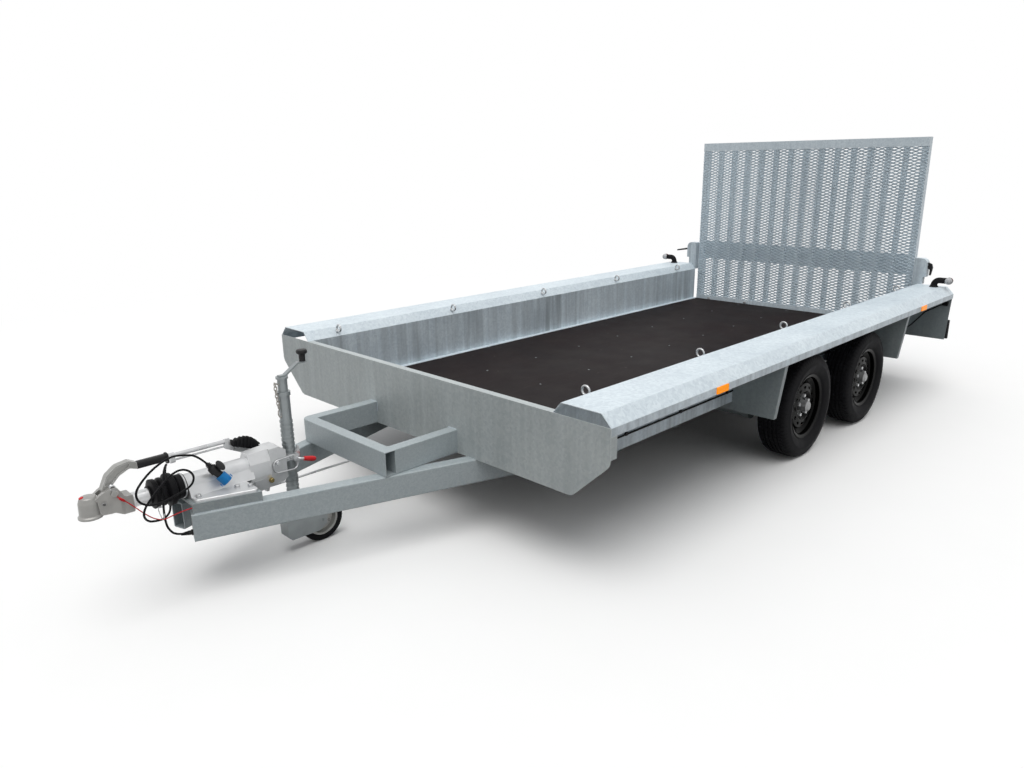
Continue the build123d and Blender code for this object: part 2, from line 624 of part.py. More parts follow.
# ---------------------------------------------------------------- axles
STUB_END = TRACK_HALF + HUB_FACE + 22.0
ARM_INNER = AXLE_HALF
BACKPLATE_Y = WALL_Y + SHEET + 3.0
BACKPLATE_THICK = 4.0
ARM_OUTER = ARM_INNER + ARM_THICK
for name, station in AXLES.items():
    wheel_x = ahead(-station)
    tube_x = wheel_x + ARM_REACH
    # Hexagonal tube under the chassis beams, trailing arms, brake plates and stub axles.
    with BuildPart() as axle:
        with BuildSketch(Plane(origin=(tube_x, 0, AXLE_TUBE_Z), x_dir=(1, 0, 0), z_dir=(0, 1, 0))):
            RegularPolygon(AXLE_TUBE / 2, 6, major_radius=False)
        extrude(amount=AXLE_HALF, both=True)
        for s in SIDES.values():
            arm_plane = Plane(origin=(0, s * ARM_INNER, 0), x_dir=(1, 0, 0), z_dir=(0, s, 0))
            with BuildSketch(arm_plane):
                flip = -s
                with BuildLine():
                    Polyline(
                        (tube_x, flip * (AXLE_TUBE_Z + BOSS_R)),
                        (wheel_x, flip * (AXLE_Z + 1.6 * STUB_R)),
                        (wheel_x, flip * (AXLE_Z - 1.6 * STUB_R)),
                        (tube_x, flip * (AXLE_TUBE_Z - BOSS_R)),
                        close=True,
                    )
                make_face()
                with Locations((tube_x, flip * AXLE_TUBE_Z)):
                    Circle(BOSS_R)
                with Locations((wheel_x, flip * AXLE_Z)):
                    Circle(1.6 * STUB_R)
            extrude(amount=ARM_THICK)
            with BuildSketch(Plane(origin=(wheel_x, s * ARM_OUTER, AXLE_Z), z_dir=(0, s, 0))):
                Circle(1.6 * STUB_R)
            extrude(amount=BACKPLATE_Y - ARM_OUTER)
            with BuildSketch(Plane(origin=(wheel_x, s * BACKPLATE_Y, AXLE_Z), z_dir=(0, s, 0))):
                Circle(DRUM_R - 2.0)
            extrude(amount=BACKPLATE_THICK)
            with BuildSketch(Plane(origin=(wheel_x, s * ARM_OUTER, AXLE_Z), z_dir=(0, s, 0))):
                Circle(STUB_R)
            extrude(amount=STUB_END - ARM_OUTER)
    write(axle.part, f"axle_{name}")

# ---------------------------------------------------------------- wheels
DRUM_INNER = BACKPLATE_Y + BACKPLATE_THICK + 5.0 - TRACK_HALF
DRUM_WALL = 8.0
BEAD_HALF = RIM_WIDTH / 2
TYRE_OUTLINE = [
    (-BEAD_HALF + 16.0, BEAD_R),
    (-BEAD_HALF + 4.5, BEAD_R),
    (-BEAD_HALF + 0.7, RIM_FLANGE_R + 1.0),
    (-BEAD_HALF - 5.0, RIM_FLANGE_R + 7.0),
    (-TYRE_WIDTH / 2, (TYRE_R + BEAD_R) / 2),
    (-TYRE_WIDTH / 2 + 5.0, TYRE_R - 24.0),
    (-TYRE_WIDTH / 2 + 20.0, TYRE_R - 4.0),
    (0.0, TYRE_R),
]
RIM_BARREL = [
    (-BEAD_HALF, RIM_FLANGE_R),
    (-BEAD_HALF + 4.0, BEAD_R - 1.0),
    (-BEAD_HALF + 26.0, BEAD_R - 1.0),
    (-BEAD_HALF + 38.0, RIM_WELL_R),
    (BEAD_HALF - 50.0, RIM_WELL_R),
    (BEAD_HALF - 26.0, BEAD_R - 1.0),
    (BEAD_HALF - 4.0, BEAD_R - 1.0),
    (BEAD_HALF, RIM_FLANGE_R),
]
RIM_DISC = [
    (BEAD_HALF - 46.0, RIM_WELL_R + 1.0),
    (BEAD_HALF - 24.0, RIM_WELL_R - 16.0),
    (HUB_FACE + 16.0, 82.0),
    (HUB_FACE, 66.0),
    (HUB_FACE, HUB_CAP_R + 4.0),
]
for axle_name, station in AXLES.items():
    for side_name, side in SIDES.items():
        where = f"{axle_name}_{side_name}"
        plane = wheel_plane(ahead(-station), AXLE_Z, side)
        spin = Axis((ahead(-station), 0, AXLE_Z), (0, side, 0))

        # Tyre: an open ring with a round-shouldered tread and bulging side walls.
        with BuildPart() as tyre:
            with BuildSketch(plane):
                with BuildLine():
                    outer = [(TRACK_HALF + y, r) for y, r in TYRE_OUTLINE]
                    other = [(TRACK_HALF - y, r) for y, r in reversed(TYRE_OUTLINE[:-1])]
                    Polyline(*outer, *other)
                    offset(amount=TYRE_WALL, side=Side.RIGHT)
                make_face()
            revolve(axis=spin)
        write(tyre.part, f"tyre_{where}")

        # Pressed steel wheel: drop-centre barrel and a dished disc with vent holes.
        with BuildPart() as rim:
            with BuildSketch(plane):
                with BuildLine():
                    Polyline(*[(TRACK_HALF + y, r) for y, r in RIM_BARREL])
                    offset(amount=RIM_SHEET, side=Side.RIGHT)
                make_face()
            revolve(axis=spin)
            with BuildSketch(plane):
                with BuildLine():
                    Polyline(*[(TRACK_HALF + y, r) for y, r in RIM_DISC])
                    offset(amount=RIM_SHEET, side=Side.LEFT)
                make_face()
            revolve(axis=spin)
            vent_plane = Plane(
                origin=(ahead(-station), side * (TRACK_HALF + BEAD_HALF), AXLE_Z), z_dir=(0, -side, 0)
            )
            with BuildSketch(vent_plane):
                with PolarLocations(103.0, 12):
                    SlotOverall(26.0, 15.0, rotation=90.0)
            extrude(amount=70.0, mode=Mode.SUBTRACT)
        write(rim.part, f"rim_{where}")

        # Brake drum and hub in one, with the dust cap that fills the wheel's centre hole.
        with BuildPart() as hub:
            with BuildSketch(plane):
                with BuildLine():
                    Polyline(
                        (TRACK_HALF + DRUM_INNER, DRUM_R - DRUM_WALL),
                        (TRACK_HALF + DRUM_INNER, DRUM_R),
                        (TRACK_HALF + HUB_FACE - 22.0, DRUM_R),
                        (TRACK_HALF + HUB_FACE - 10.0, 70.0),
                        (TRACK_HALF + HUB_FACE, 66.0),
                        (TRACK_HALF + HUB_FACE, HUB_CAP_R),
                        (TRACK_HALF + HUB_FACE + 40.0, HUB_CAP_R - 2.0),
                        (TRACK_HALF + HUB_FACE + 48.0, HUB_CAP_R - 12.0),
                        (TRACK_HALF + HUB_FACE + 48.0, 0.0),
                        (STUB_END + 2.0, 0.0),
                        (STUB_END + 2.0, STUB_R + RUNNING),
                        (TRACK_HALF + HUB_FACE - 20.0 - DRUM_WALL, STUB_R + RUNNING),
                        (TRACK_HALF + HUB_FACE - 20.0 - DRUM_WALL, DRUM_R - DRUM_WALL),
                        close=True,
                    )
                make_face()
            revolve(axis=spin)
        write(hub.part, f"hub_{where}")

# ---------------------------------------------------------------- ramp
BAR_FOOT = RAMP_TOP - RAMP_BAR
SILL_HEIGHT = 45.0
RAMP_MIDDLE = (RAMP_TOP + RAMP_FOOT) / 2
RIB_PLACES = [((i - (RIB_COUNT - 1) / 2) * RIB_PITCH, RAMP_MIDDLE) for i in range(RIB_COUNT)]
with BuildPart() as ramp_frame:
    with BuildSketch(Plane.YZ.offset(FRAME_FACE_X)):
        with Locations((0, RAMP_MIDDLE)):
            Rectangle(2 * RAMP_HALF, RAMP_TOP - RAMP_FOOT)
            Rectangle(
                2 * (RAMP_HALF - RAMP_SIDE),
                RAMP_TOP - RAMP_FOOT - 2 * SILL_HEIGHT,
                mode=Mode.SUBTRACT,
            )
        with Locations(*RIB_PLACES):
            Rectangle(RIB_WIDTH, RAMP_TOP - RAMP_FOOT - SILL_HEIGHT)
    extrude(amount=-RAMP_DEPTH)
    # Every member is a channel that opens to the rear.
    with BuildSketch(Plane.YZ.offset(RAMP_BACK_X)):
        for s in SIDES.values():
            with Locations((s * (RAMP_HALF - RAMP_SIDE / 2), RAMP_MIDDLE)):
                Rectangle(RAMP_SIDE - 2 * RAMP_WALL, RAMP_TOP - RAMP_FOOT - 2 * RAMP_WALL)
        with Locations((0, RAMP_TOP - SILL_HEIGHT / 2), (0, RAMP_FOOT + SILL_HEIGHT / 2)):
            Rectangle(2 * (RAMP_HALF - RAMP_SIDE), SILL_HEIGHT - 2 * RAMP_WALL)
        with Locations(*RIB_PLACES):
            Rectangle(RIB_WIDTH - 2 * RAMP_WALL, RAMP_TOP - RAMP_FOOT - 2 * SILL_HEIGHT)
    extrude(amount=RAMP_DEPTH - RAMP_WALL, mode=Mode.SUBTRACT)
    with BuildSketch(Plane.YZ.offset(RAMP_BACK_X)):
        with Locations((0, (BAND_LOW + BAND_HIGH) / 2)):
            Rectangle(2 * RAMP_HALF - RAMP_SIDE, BAND_HIGH - BAND_LOW)
    extrude(amount=SHEET)
    with BuildSketch(Plane.YZ.offset(RAMP_FACE_X + SHEET)):
        with Locations((0, RAMP_TOP - RAMP_BAR / 2)):
            Rectangle(2 * RAMP_HALF, RAMP_BAR)
        with Locations((0, RAMP_FOOT + SILL_HEIGHT / 2 + 14.0)):
            Rectangle(2 * RAMP_HALF, SILL_HEIGHT + 28.0)
    extrude(amount=-(SHEET + MESH_THICK))
    for y in HINGE_Y:
        with BuildSketch(side_plane(y - EAR_THICK / 2)):
            with BuildLine():
                Polyline(
                    (-HINGE_X - EAR_R + 2.0, HINGE_Z),
                    (-HINGE_X - EAR_R + 2.0 - 26.0, RAMP_FOOT),
                    (-HINGE_X - HINGE_BACK, RAMP_FOOT),
                    (-HINGE_X + EAR_R - 2.0, HINGE_Z + 6.0),
                    (-HINGE_X + EAR_R - 2.0, HINGE_Z),
                )
                ThreePointArc(
                    (-HINGE_X + EAR_R - 2.0, HINGE_Z),
                    (-HINGE_X, HINGE_Z - EAR_R + 2.0),
                    (-HINGE_X - EAR_R + 2.0, HINGE_Z),
                )
            make_face()
        extrude(amount=EAR_THICK)
        with BuildSketch(Plane(origin=(HINGE_X, y, HINGE_Z), z_dir=(0, 1, 0))):
            Circle(HINGE_PIN_R)
        extrude(amount=1.5 * EAR_THICK + EAR_GAP, both=True)
write(ramp_frame.part, "ramp_frame")

# Expanded mesh: a sheet cut by staggered rows of diamonds.
MESH_LOW = RAMP_FOOT + SILL_HEIGHT + 28.0
MESH_HIGH = BAR_FOOT
MESH_PITCH_Y = 2 * (RAMP_HALF - 10.0) / MESH_COLUMNS
MESH_PITCH_Z = (MESH_HIGH - MESH_LOW - 10.0) / (MESH_ROWS / 2)
with BuildPart() as ramp_mesh:
    with BuildSketch(Plane.YZ.offset(FRAME_FACE_X)):
        with Locations((0, (MESH_LOW + MESH_HIGH) / 2)):
            Rectangle(2 * RAMP_HALF, MESH_HIGH - MESH_LOW)
        half_y = MESH_PITCH_Y / 2 - STRAND / 2
        half_z = MESH_PITCH_Z / 2 - STRAND / 2
        with GridLocations(MESH_PITCH_Y, MESH_PITCH_Z, MESH_COLUMNS, MESH_ROWS // 2):
            with Locations((0, (MESH_LOW + MESH_HIGH) / 2)):
                Polygon((-half_y, 0), (0, -half_z), (half_y, 0), (0, half_z), mode=Mode.SUBTRACT)
        with GridLocations(MESH_PITCH_Y, MESH_PITCH_Z, MESH_COLUMNS - 1, MESH_ROWS // 2 - 1):
            with Locations((0, (MESH_LOW + MESH_HIGH) / 2)):
                Polygon((-half_y, 0), (0, -half_z), (half_y, 0), (0, half_z), mode=Mode.SUBTRACT)
    extrude(amount=MESH_THICK)
write(ramp_mesh.part, "ramp_mesh")

# ---------------------------------------------------------------- overrun coupling
# Block that lifts the overrun housing off the converging beams, open at both ends.
SPACER_FRONT = 1088.0
SPACER_REAR = 850.0
SPACER_INSET = 6.0        # its sides inboard of the beams' outer faces
SPACER_WALL = 8.0
with BuildPart() as spacer:
    for inset, height, mode in (
        (SPACER_INSET, SPACER_HEIGHT, Mode.ADD),
        (SPACER_INSET + SPACER_WALL, SPACER_HEIGHT - SPACER_WALL, Mode.SUBTRACT),
    ):
        with BuildSketch(Plane.XY.offset(BEAM_TOP)):
            Polygon(
                (ahead(SPACER_FRONT), beam_edge(SPACER_FRONT, inset)),
                (ahead(SPACER_REAR), beam_edge(SPACER_REAR, inset)),
                (ahead(SPACER_REAR), -beam_edge(SPACER_REAR, inset)),
                (ahead(SPACER_FRONT), -beam_edge(SPACER_FRONT, inset)),
                align=None,
            )
        extrude(amount=height, mode=mode)
write(spacer.part, "coupling_mount")

# Cast overrun housing: foot flange, saddle, round barrel, eight-sided rear part and bracket.
FLANGE_THICK = 12.0
FLANGE_TOP = SPACER_TOP + FLANGE_THICK
FLANGE_CORNER = 14.0
HOUSING_FRONT = 1074.0
BARREL_REAR = 820.0
OCTAGON_FRONT = 829.0
OCTAGON_REAR = 745.0
OCTAGON = [(28.0, 490.0), (50.0, 446.0), (50.0, 388.0), (34.0, 350.0)]   # right half, from the top
BRACKET_REAR = 672.0
BRACKET_TOP = 490.0
BRACKET_HALF = 42.0
BRACKET_WALL = 8.0
BRACKET_FOOT = 322.0
with BuildPart() as housing:
    with BuildSketch(Plane.XY.offset(SPACER_TOP)):
        Polygon(
            (ahead(HOUSING_FRONT), beam_edge(HOUSING_FRONT, 2 * SPACER_INSET)),
            (ahead(SPACER_REAR + SPACER_INSET), beam_edge(SPACER_REAR, 2 * SPACER_INSET)),
            (ahead(SPACER_REAR + SPACER_INSET), -beam_edge(SPACER_REAR, 2 * SPACER_INSET)),
            (ahead(HOUSING_FRONT), -beam_edge(HOUSING_FRONT, 2 * SPACER_INSET)),
            align=None,
        )
        fillet(vertices(), FLANGE_CORNER)
    extrude(amount=FLANGE_THICK)
    chamfer(housing.faces().sort_by(Axis.Z)[-1].edges(), 2.0)
    with BuildSketch(Plane.YZ.offset(ahead(BARREL_REAR))):
        with Locations((0, SHAFT_Z)):
            Circle(HOUSING_R)
        Polygon(
            (-58.0, FLANGE_TOP - 2.0),
            (58.0, FLANGE_TOP - 2.0),
            (HOUSING_R - 4.0, SHAFT_Z + 10.0),
            (-HOUSING_R + 4.0, SHAFT_Z + 10.0),
            align=None,
        )
    extrude(amount=HOUSING_FRONT - BARREL_REAR)
    with BuildSketch(Plane.YZ.offset(ahead(OCTAGON_REAR))):
        Polygon(*OCTAGON, *[(-y, z) for y, z in reversed(OCTAGON)], align=None)
    extrude(amount=OCTAGON_FRONT - OCTAGON_REAR, taper=3.0)
    # Channel-shaped bracket below and behind, which holds the jockey wheel and the brake lever.
    with BuildSketch(Plane.XZ):
        Polygon(
            (ahead(OCTAGON_FRONT - 14.0), BRACKET_FOOT + 50.0),
            (ahead(OCTAGON_FRONT - 14.0), BRACKET_FOOT),
            (ahead(BRACKET_REAR + 18.0), BRACKET_FOOT + 16.0),
            (ahead(BRACKET_REAR), BRACKET_FOOT + 30.0),
            (ahead(BRACKET_REAR), BRACKET_TOP - 20.0),
            (ahead(BRACKET_REAR + 28.0), BRACKET_TOP),
            (ahead(OCTAGON_REAR), BRACKET_TOP),
            (ahead(OCTAGON_REAR), BRACKET_FOOT + 50.0),
            align=None,
        )
    extrude(amount=BRACKET_HALF, both=True)
    with BuildSketch(Plane.XZ):
        Polygon(
            (ahead(BRACKET_REAR) - 1.0, BRACKET_FOOT - 1.0),
            (ahead(OCTAGON_FRONT), BRACKET_FOOT - 1.0),
            (ahead(OCTAGON_FRONT), OCTAGON[-1][1]),
            (ahead(OCTAGON_REAR - BRACKET_WALL), OCTAGON[-1][1]),
            (ahead(OCTAGON_REAR - BRACKET_WALL), BRACKET_TOP - BRACKET_WALL),
            (ahead(BRACKET_REAR) - 1.0, BRACKET_TOP - BRACKET_WALL),
            align=None,
        )
    extrude(amount=BRACKET_HALF - BRACKET_WALL, both=True, mode=Mode.SUBTRACT)
    with BuildSketch(Plane.YZ.offset(ahead(HOUSING_FRONT) + 1.0)):
        with Locations((0, SHAFT_Z)):
            Circle(SHAFT_R + RUNNING)
    extrude(amount=-220.0, mode=Mode.SUBTRACT)
write(housing.part, "overrun_housing")

# Draw shaft between the housing and the coupling head.
SHAFT_FRONT = 1264.0
SHAFT_REAR = 870.0
with BuildPart() as shaft:
    with BuildSketch(Plane.YZ.offset(ahead(SHAFT_REAR))):
        with Locations((0, SHAFT_Z)):
            Circle(SHAFT_R)
    extrude(amount=SHAFT_FRONT - SHAFT_REAR)
write(shaft.part, "draw_shaft")

# Rubber bellows round the shaft.
BELLOWS_INNER = SHAFT_R + FACE
BELLOWS_REAR = HOUSING_FRONT + 2.0
BELLOWS_OUTLINE = [       # ahead of its rear end, and radius
    (0.0, 45.0),
    (30.0, 47.0),
    (34.0, 40.0),
    (43.0, 60.0),
    (64.0, 62.0),
    (72.0, 42.0),
    (79.0, 54.0),
    (89.0, 54.0),
    (96.0, 41.0),
    (102.0, 54.0),
    (118.0, 56.0),
    (124.0, 36.0),
]
with BuildPart() as bellows:
    with BuildSketch(Plane.XZ):
        with BuildLine():
            folds = FilletPolyline(
                *[(ahead(BELLOWS_REAR + x), SHAFT_Z + r) for x, r in BELLOWS_OUTLINE],
                radius=2.0,
            )
            Polyline(
                folds @ 1,
                (ahead(BELLOWS_REAR + BELLOWS_OUTLINE[-1][0]), SHAFT_Z + BELLOWS_INNER),
                (ahead(BELLOWS_REAR), SHAFT_Z + BELLOWS_INNER),
                folds @ 0,
            )
        make_face()
    revolve(axis=Axis((0, 0, SHAFT_Z), (1, 0, 0)))
write(bellows.part, "bellows")

# Coupling head: neck and ears cut to their plan outline, and the cup over the ball socket.
BALL_X = 1401.0
BALL_R = 25.0
CUP_R = 36.0
CUP_FOOT = 412.0
EAR_HALF = 33.0
SLOT_FLOOR = 462.0        # slot for the lever's foot between the ears
SLOT_LONG = 78.0
LEVER_HALF = 14.0
LEVER_PIN = (1325.0, 487.0)
LEVER_PIN_R = 6.0
with BuildPart() as head:
    with BuildSketch(Plane.XZ):
        with BuildLine():
            FilletPolyline(
                *[(ahead(x), z) for x, z in [
                    (SHAFT_FRONT, SHAFT_Z - SHAFT_R - 5.0),
                    (1302.0, SHAFT_Z - SHAFT_R - 4.0),
                    (1330.0, CUP_FOOT + 2.0),
                    (BALL_X, CUP_FOOT + 4.0),
                    (BALL_X, 488.0),
                    (1388.0, 479.0),
                    (1364.0, 494.0),
                    (1338.0, 507.0),
                    (1314.0, 505.0),
                    (1290.0, SLOT_FLOOR + 2.0),
                    (SHAFT_FRONT, SLOT_FLOOR),
                ]],
                radius=[6.0, 12.0, 12.0, 3.0, 3.0, 8.0, 12.0, 10.0, 8.0, 8.0, 6.0],
                close=True,
            )
        make_face()
    extrude(amount=2 * EAR_HALF, both=True)
    with BuildSketch(Plane.XY.offset(SHAFT_Z - SHAFT_R - 10.0)):
        with BuildLine():
            plan = [(SHAFT_FRONT - 10.0, 31.0), (1296.0, 31.0), (1308.0, EAR_HALF),
                    (1344.0, EAR_HALF), (1374.0, 26.0), (BALL_X + 10.0, 30.0)]
            FilletPolyline(
                *[(ahead(x), y) for x, y in plan],
                *[(ahead(x), -y) for x, y in reversed(plan)],
                radius=[6.0, 10.0, 10.0, 16.0, 16.0, 3.0] + [3.0, 16.0, 16.0, 10.0, 10.0, 6.0],
                close=True,
            )
        make_face()
    extrude(amount=2 * EAR_HALF + 60.0, mode=Mode.INTERSECT)
    with BuildSketch(Plane.XZ):
        with BuildLine():
            dome = FilletPolyline(
                (ahead(BALL_X), 492.0),
                (ahead(BALL_X + 27.0), 490.0),
                (ahead(BALL_X + 34.0), 468.0),
                (ahead(BALL_X + CUP_R), 424.0),
                (ahead(BALL_X + CUP_R + 5.0), 419.0),
                (ahead(BALL_X + CUP_R + 5.0), CUP_FOOT),
                (ahead(BALL_X), CUP_FOOT),
                radius=[10.0, 12.0, 3.0, 2.0, 1.5],
            )
            Line(dome @ 1, dome @ 0)
        make_face()
    revolve(axis=Axis((ahead(BALL_X), 0, 0), (0, 0, 1)))
    with BuildSketch(Plane.XZ):
        with Locations((ahead(LEVER_PIN[0] + 10.0), SLOT_FLOOR + EAR_HALF)):
            Rectangle(SLOT_LONG, 2 * EAR_HALF)
    extrude(amount=LEVER_HALF + 0.5, both=True, mode=Mode.SUBTRACT)
    with BuildSketch(Plane.XZ):
        with Locations((ahead(LEVER_PIN[0]), LEVER_PIN[1])):
            Circle(LEVER_PIN_R + RUNNING)
    extrude(amount=2 * EAR_HALF, both=True, mode=Mode.SUBTRACT)
    with Locations((ahead(BALL_X), 0, SHAFT_Z)):
        Sphere(BALL_R + 0.5, mode=Mode.SUBTRACT)
    with BuildSketch(Plane.XY.offset(SHAFT_Z)):
        with Locations((ahead(BALL_X), 0)):
            Circle(BALL_R + 0.5)
    extrude(amount=-2 * BALL_R, mode=Mode.SUBTRACT)
write(head.part, "coupling_head")

# Coupling lever: pressed bar on a pin between the ears, sunk along both sides.
GRIP_FRONT = 1230.0
GRIP_Z = 556.0
GRIP_LONG = 110.0
LEVER_OUTLINE = [
    (1362.0, SLOT_FLOOR),
    (1356.0, 508.0),
    (1336.0, 549.0),
    (1300.0, 576.0),
    (1256.0, 583.0),
    (GRIP_FRONT, 570.0),
    (GRIP_FRONT, 545.0),
    (1258.0, 555.0),
    (1294.0, 538.0),
    (1320.0, 511.0),
    (1314.0, SLOT_FLOOR),
]
with BuildPart() as lever:
    with BuildSketch(Plane.XZ):
        with BuildLine():
            FilletPolyline(
                *[(ahead(x), z) for x, z in LEVER_OUTLINE],
                radius=[2.0, 30.0, 30.0, 30.0, 12.0, 3.0, 3.0, 14.0, 24.0, 12.0, 2.0],
                close=True,
            )
        make_face()
    extrude(amount=LEVER_HALF, both=True)
    for s in SIDES.values():
        with BuildSketch(Plane.XZ.offset(-s * LEVER_HALF)):
            with BuildLine():
                FilletPolyline(
                    *[(ahead(x), z) for x, z in [
                        (1349.0, 512.0),
                        (1332.0, 543.0),
                        (1298.0, 569.0),
                        (1258.0, 576.0),
                        (1258.0, 562.0),
                        (1298.0, 543.0),
                        (1326.0, 515.0),
                    ]],
                    radius=[4.0, 22.0, 22.0, 4.0, 4.0, 22.0, 4.0],
                    close=True,
                )
            make_face()
        extrude(amount=s * 5.0, mode=Mode.SUBTRACT)
    with BuildSketch(Plane.XZ):
        with Locations((ahead(LEVER_PIN[0]), LEVER_PIN[1])):
            Circle(LEVER_PIN_R)
    extrude(amount=EAR_HALF, both=True)
    for s in SIDES.values():
        with BuildSketch(Plane.XZ.offset(-s * EAR_HALF)):
            with Locations((ahead(LEVER_PIN[0]), LEVER_PIN[1])):
                RegularPolygon(2 * LEVER_PIN_R, 6)
        extrude(amount=-s * LEVER_PIN_R)
write(lever.part, "coupling_lever")

with BuildPart() as grip:
    with BuildSketch(Plane.YZ.offset(ahead(GRIP_FRONT - GRIP_LONG))):
        with Locations((0, GRIP_Z)):
            RectangleRounded(30.0, 28.0, 11.0)
    extrude(amount=GRIP_LONG)
    with BuildSketch(Plane.YZ.offset(ahead(GRIP_FRONT - GRIP_LONG))):
        with Locations((0, GRIP_Z - 3.0)):
            RectangleRounded(36.0, 40.0, 12.0)
    extrude(amount=6.0)
write(grip.part, "coupling_grip")

# Parking brake lever on the right side: root plate, upper bar and the thinner rod below it.
BRAKE_Y = -80.0
BRAKE_PLATE = 8.0
BRAKE_PIN = (765.0, 434.0)
BRAKE_PIN_R = 12.0
BRAKE_BAR_R = 8.5
BRAKE_ROD_R = 4.0
BRAKE_FRONT = 1085.0
with BuildPart() as brake_lever:
    with BuildSketch(Plane.XZ.offset(-BRAKE_Y - BRAKE_PLATE / 2)):
        with BuildLine():
            FilletPolyline(
                *[(ahead(x), z) for x, z in [
                    (722.0, 420.0),
                    (722.0, 462.0),
                    (768.0, 482.0),
                    (846.0, 512.0),
                    (846.0, 536.0),
                    (872.0, 536.0),
                    (872.0, 498.0),
                    (784.0, 454.0),
                    (784.0, 420.0),
                ]],
                radius=[12.0, 10.0, 30.0, 4.0, 4.0, 4.0, 10.0, 12.0, 12.0],
                close=True,
            )
        make_face()
    extrude(amount=BRAKE_PLATE)
    for z, r in ((526.0, BRAKE_BAR_R), (507.0, BRAKE_ROD_R)):
        with BuildSketch(Plane.YZ.offset(ahead(868.0))):
            with Locations((BRAKE_Y, z)):
                Circle(r)
        extrude(amount=BRAKE_FRONT - 868.0)
    with BuildSketch(Plane.YZ.offset(ahead(BRAKE_FRONT))):
        with Locations((BRAKE_Y, 517.0)):
            RectangleRounded(20.0, 40.0, 8.0)
    extrude(amount=-18.0)
    with BuildSketch(Plane.XZ.offset(OCTAGON[1][0])):
        with Locations((ahead(BRAKE_PIN[0]), BRAKE_PIN[1])):
            Circle(BRAKE_PIN_R)
    extrude(amount=-BRAKE_Y - BRAKE_PLATE / 2 - OCTAGON[1][0])
write(brake_lever.part, "parking_brake_lever")

# Ribbed rubber guard over the lever's root: a row of flat-footed ribs of growing height.
BOOT_RIBS = 9
BOOT_RIB = 8.0
BOOT_FRONT = Vector(ahead(846.0), BRAKE_Y, 505.0)
BOOT_REAR = Vector(ahead(722.0), BRAKE_Y, 452.0)
boot_axis = (BOOT_REAR - BOOT_FRONT).normalized()
boot_pitch = (BOOT_REAR - BOOT_FRONT).length / BOOT_RIBS
with BuildPart() as brake_boot:
    for index in range(BOOT_RIBS):
        rise = 15.0 + 33.0 * sin(pi * (index + 0.8) / (BOOT_RIBS + 0.6))
        start = BOOT_FRONT + boot_axis * index * boot_pitch
        for shrink, thick in ((3.0, boot_pitch), (0.0, BOOT_RIB)):
            with BuildSketch(Plane(origin=start, x_dir=(0, 1, 0), z_dir=boot_axis)):
                Ellipse(25.0 - shrink, rise - shrink)
            extrude(amount=thick)
    with BuildSketch(Plane.XZ):
        Polygon(
            (ahead(900.0), 512.0),
            (ahead(846.0), 506.0),
            (ahead(768.0), 474.0),
            (ahead(722.0), 454.0),
            (ahead(690.0), 454.0),
            (ahead(690.0), 390.0),
            (ahead(900.0), 390.0),
            align=None,
        )
    extrude(amount=-2 * BRAKE_Y, mode=Mode.SUBTRACT)
    add(brake_lever.part, mode=Mode.SUBTRACT)
write(brake_boot.part, "parking_brake_boot")

# Brake pull rod: hanger under the housing, rod, and equaliser bar ahead of the front axle.
ROD_Z = 264.0
ROD_Y = -112.0
ROD_R = 5.0
ROD_FRONT = BRACKET_REAR + 32.0
ROD_REAR = -AXLES["front"] + ARM_REACH + AXLE_TUBE
with BuildPart() as brake_rod:
    with BuildSketch(Plane.YZ.offset(ahead(ROD_FRONT))):
        with Locations((ROD_Y, ROD_Z)):
            Circle(ROD_R)
    extrude(amount=ROD_REAR - ROD_FRONT)
    with BuildSketch(Plane.YZ.offset(ahead(ROD_FRONT - 12.0))):
        Polygon(
            (-BRACKET_HALF, BRACKET_FOOT + 80.0),
            (-BRACKET_HALF, BRACKET_FOOT + 30.0),
            (ROD_Y + 12.0, ROD_Z - 14.0),
            (ROD_Y - 12.0, ROD_Z - 14.0),
            (ROD_Y - 12.0, ROD_Z + 14.0),
            align=None,
        )
    extrude(amount=12.0)
    with BuildSketch(Plane.XY.offset(ROD_Z - 8.0)):
        with Locations((ahead(ROD_REAR), 0)):
            Rectangle(30.0, 3 * abs(ROD_Y))
    extrude(amount=16.0)
write(brake_rod.part, "brake_rod")

# ---------------------------------------------------------------- jockey wheel
LEG_WALL = 3.0
LEG_TOP = 600.0
with BuildPart() as jockey_tube:
    with BuildSketch(Plane.XY.offset(JOCKEY_TUBE_FOOT)):
        with Locations((JOCKEY_AXIS_X, 0)):
            Circle(JOCKEY_TUBE_R)
            Circle(JOCKEY_LEG_R + RUNNING, mode=Mode.SUBTRACT)
    extrude(amount=JOCKEY_TUBE_TOP - JOCKEY_TUBE_FOOT)
    with BuildSketch(Plane.XY.offset(JOCKEY_TUBE_TOP - 16.0)):
        with Locations((JOCKEY_AXIS_X, 0)):
            Circle(JOCKEY_TUBE_R + 4.0)
            Circle(JOCKEY_TUBE_R, mode=Mode.SUBTRACT)
    extrude(amount=16.0)
    for base in (450.0, 245.0):
        for index in range(7 if base > 400.0 else 5):
            with BuildSketch(Plane.XY.offset(base + 20.0 * index)):
                with Locations((JOCKEY_AXIS_X, 0)):
                    Circle(JOCKEY_TUBE_R + 2.5)
                    Circle(JOCKEY_TUBE_R, mode=Mode.SUBTRACT)
            extrude(amount=9.0)
write(jockey_tube.part, "jockey_tube")

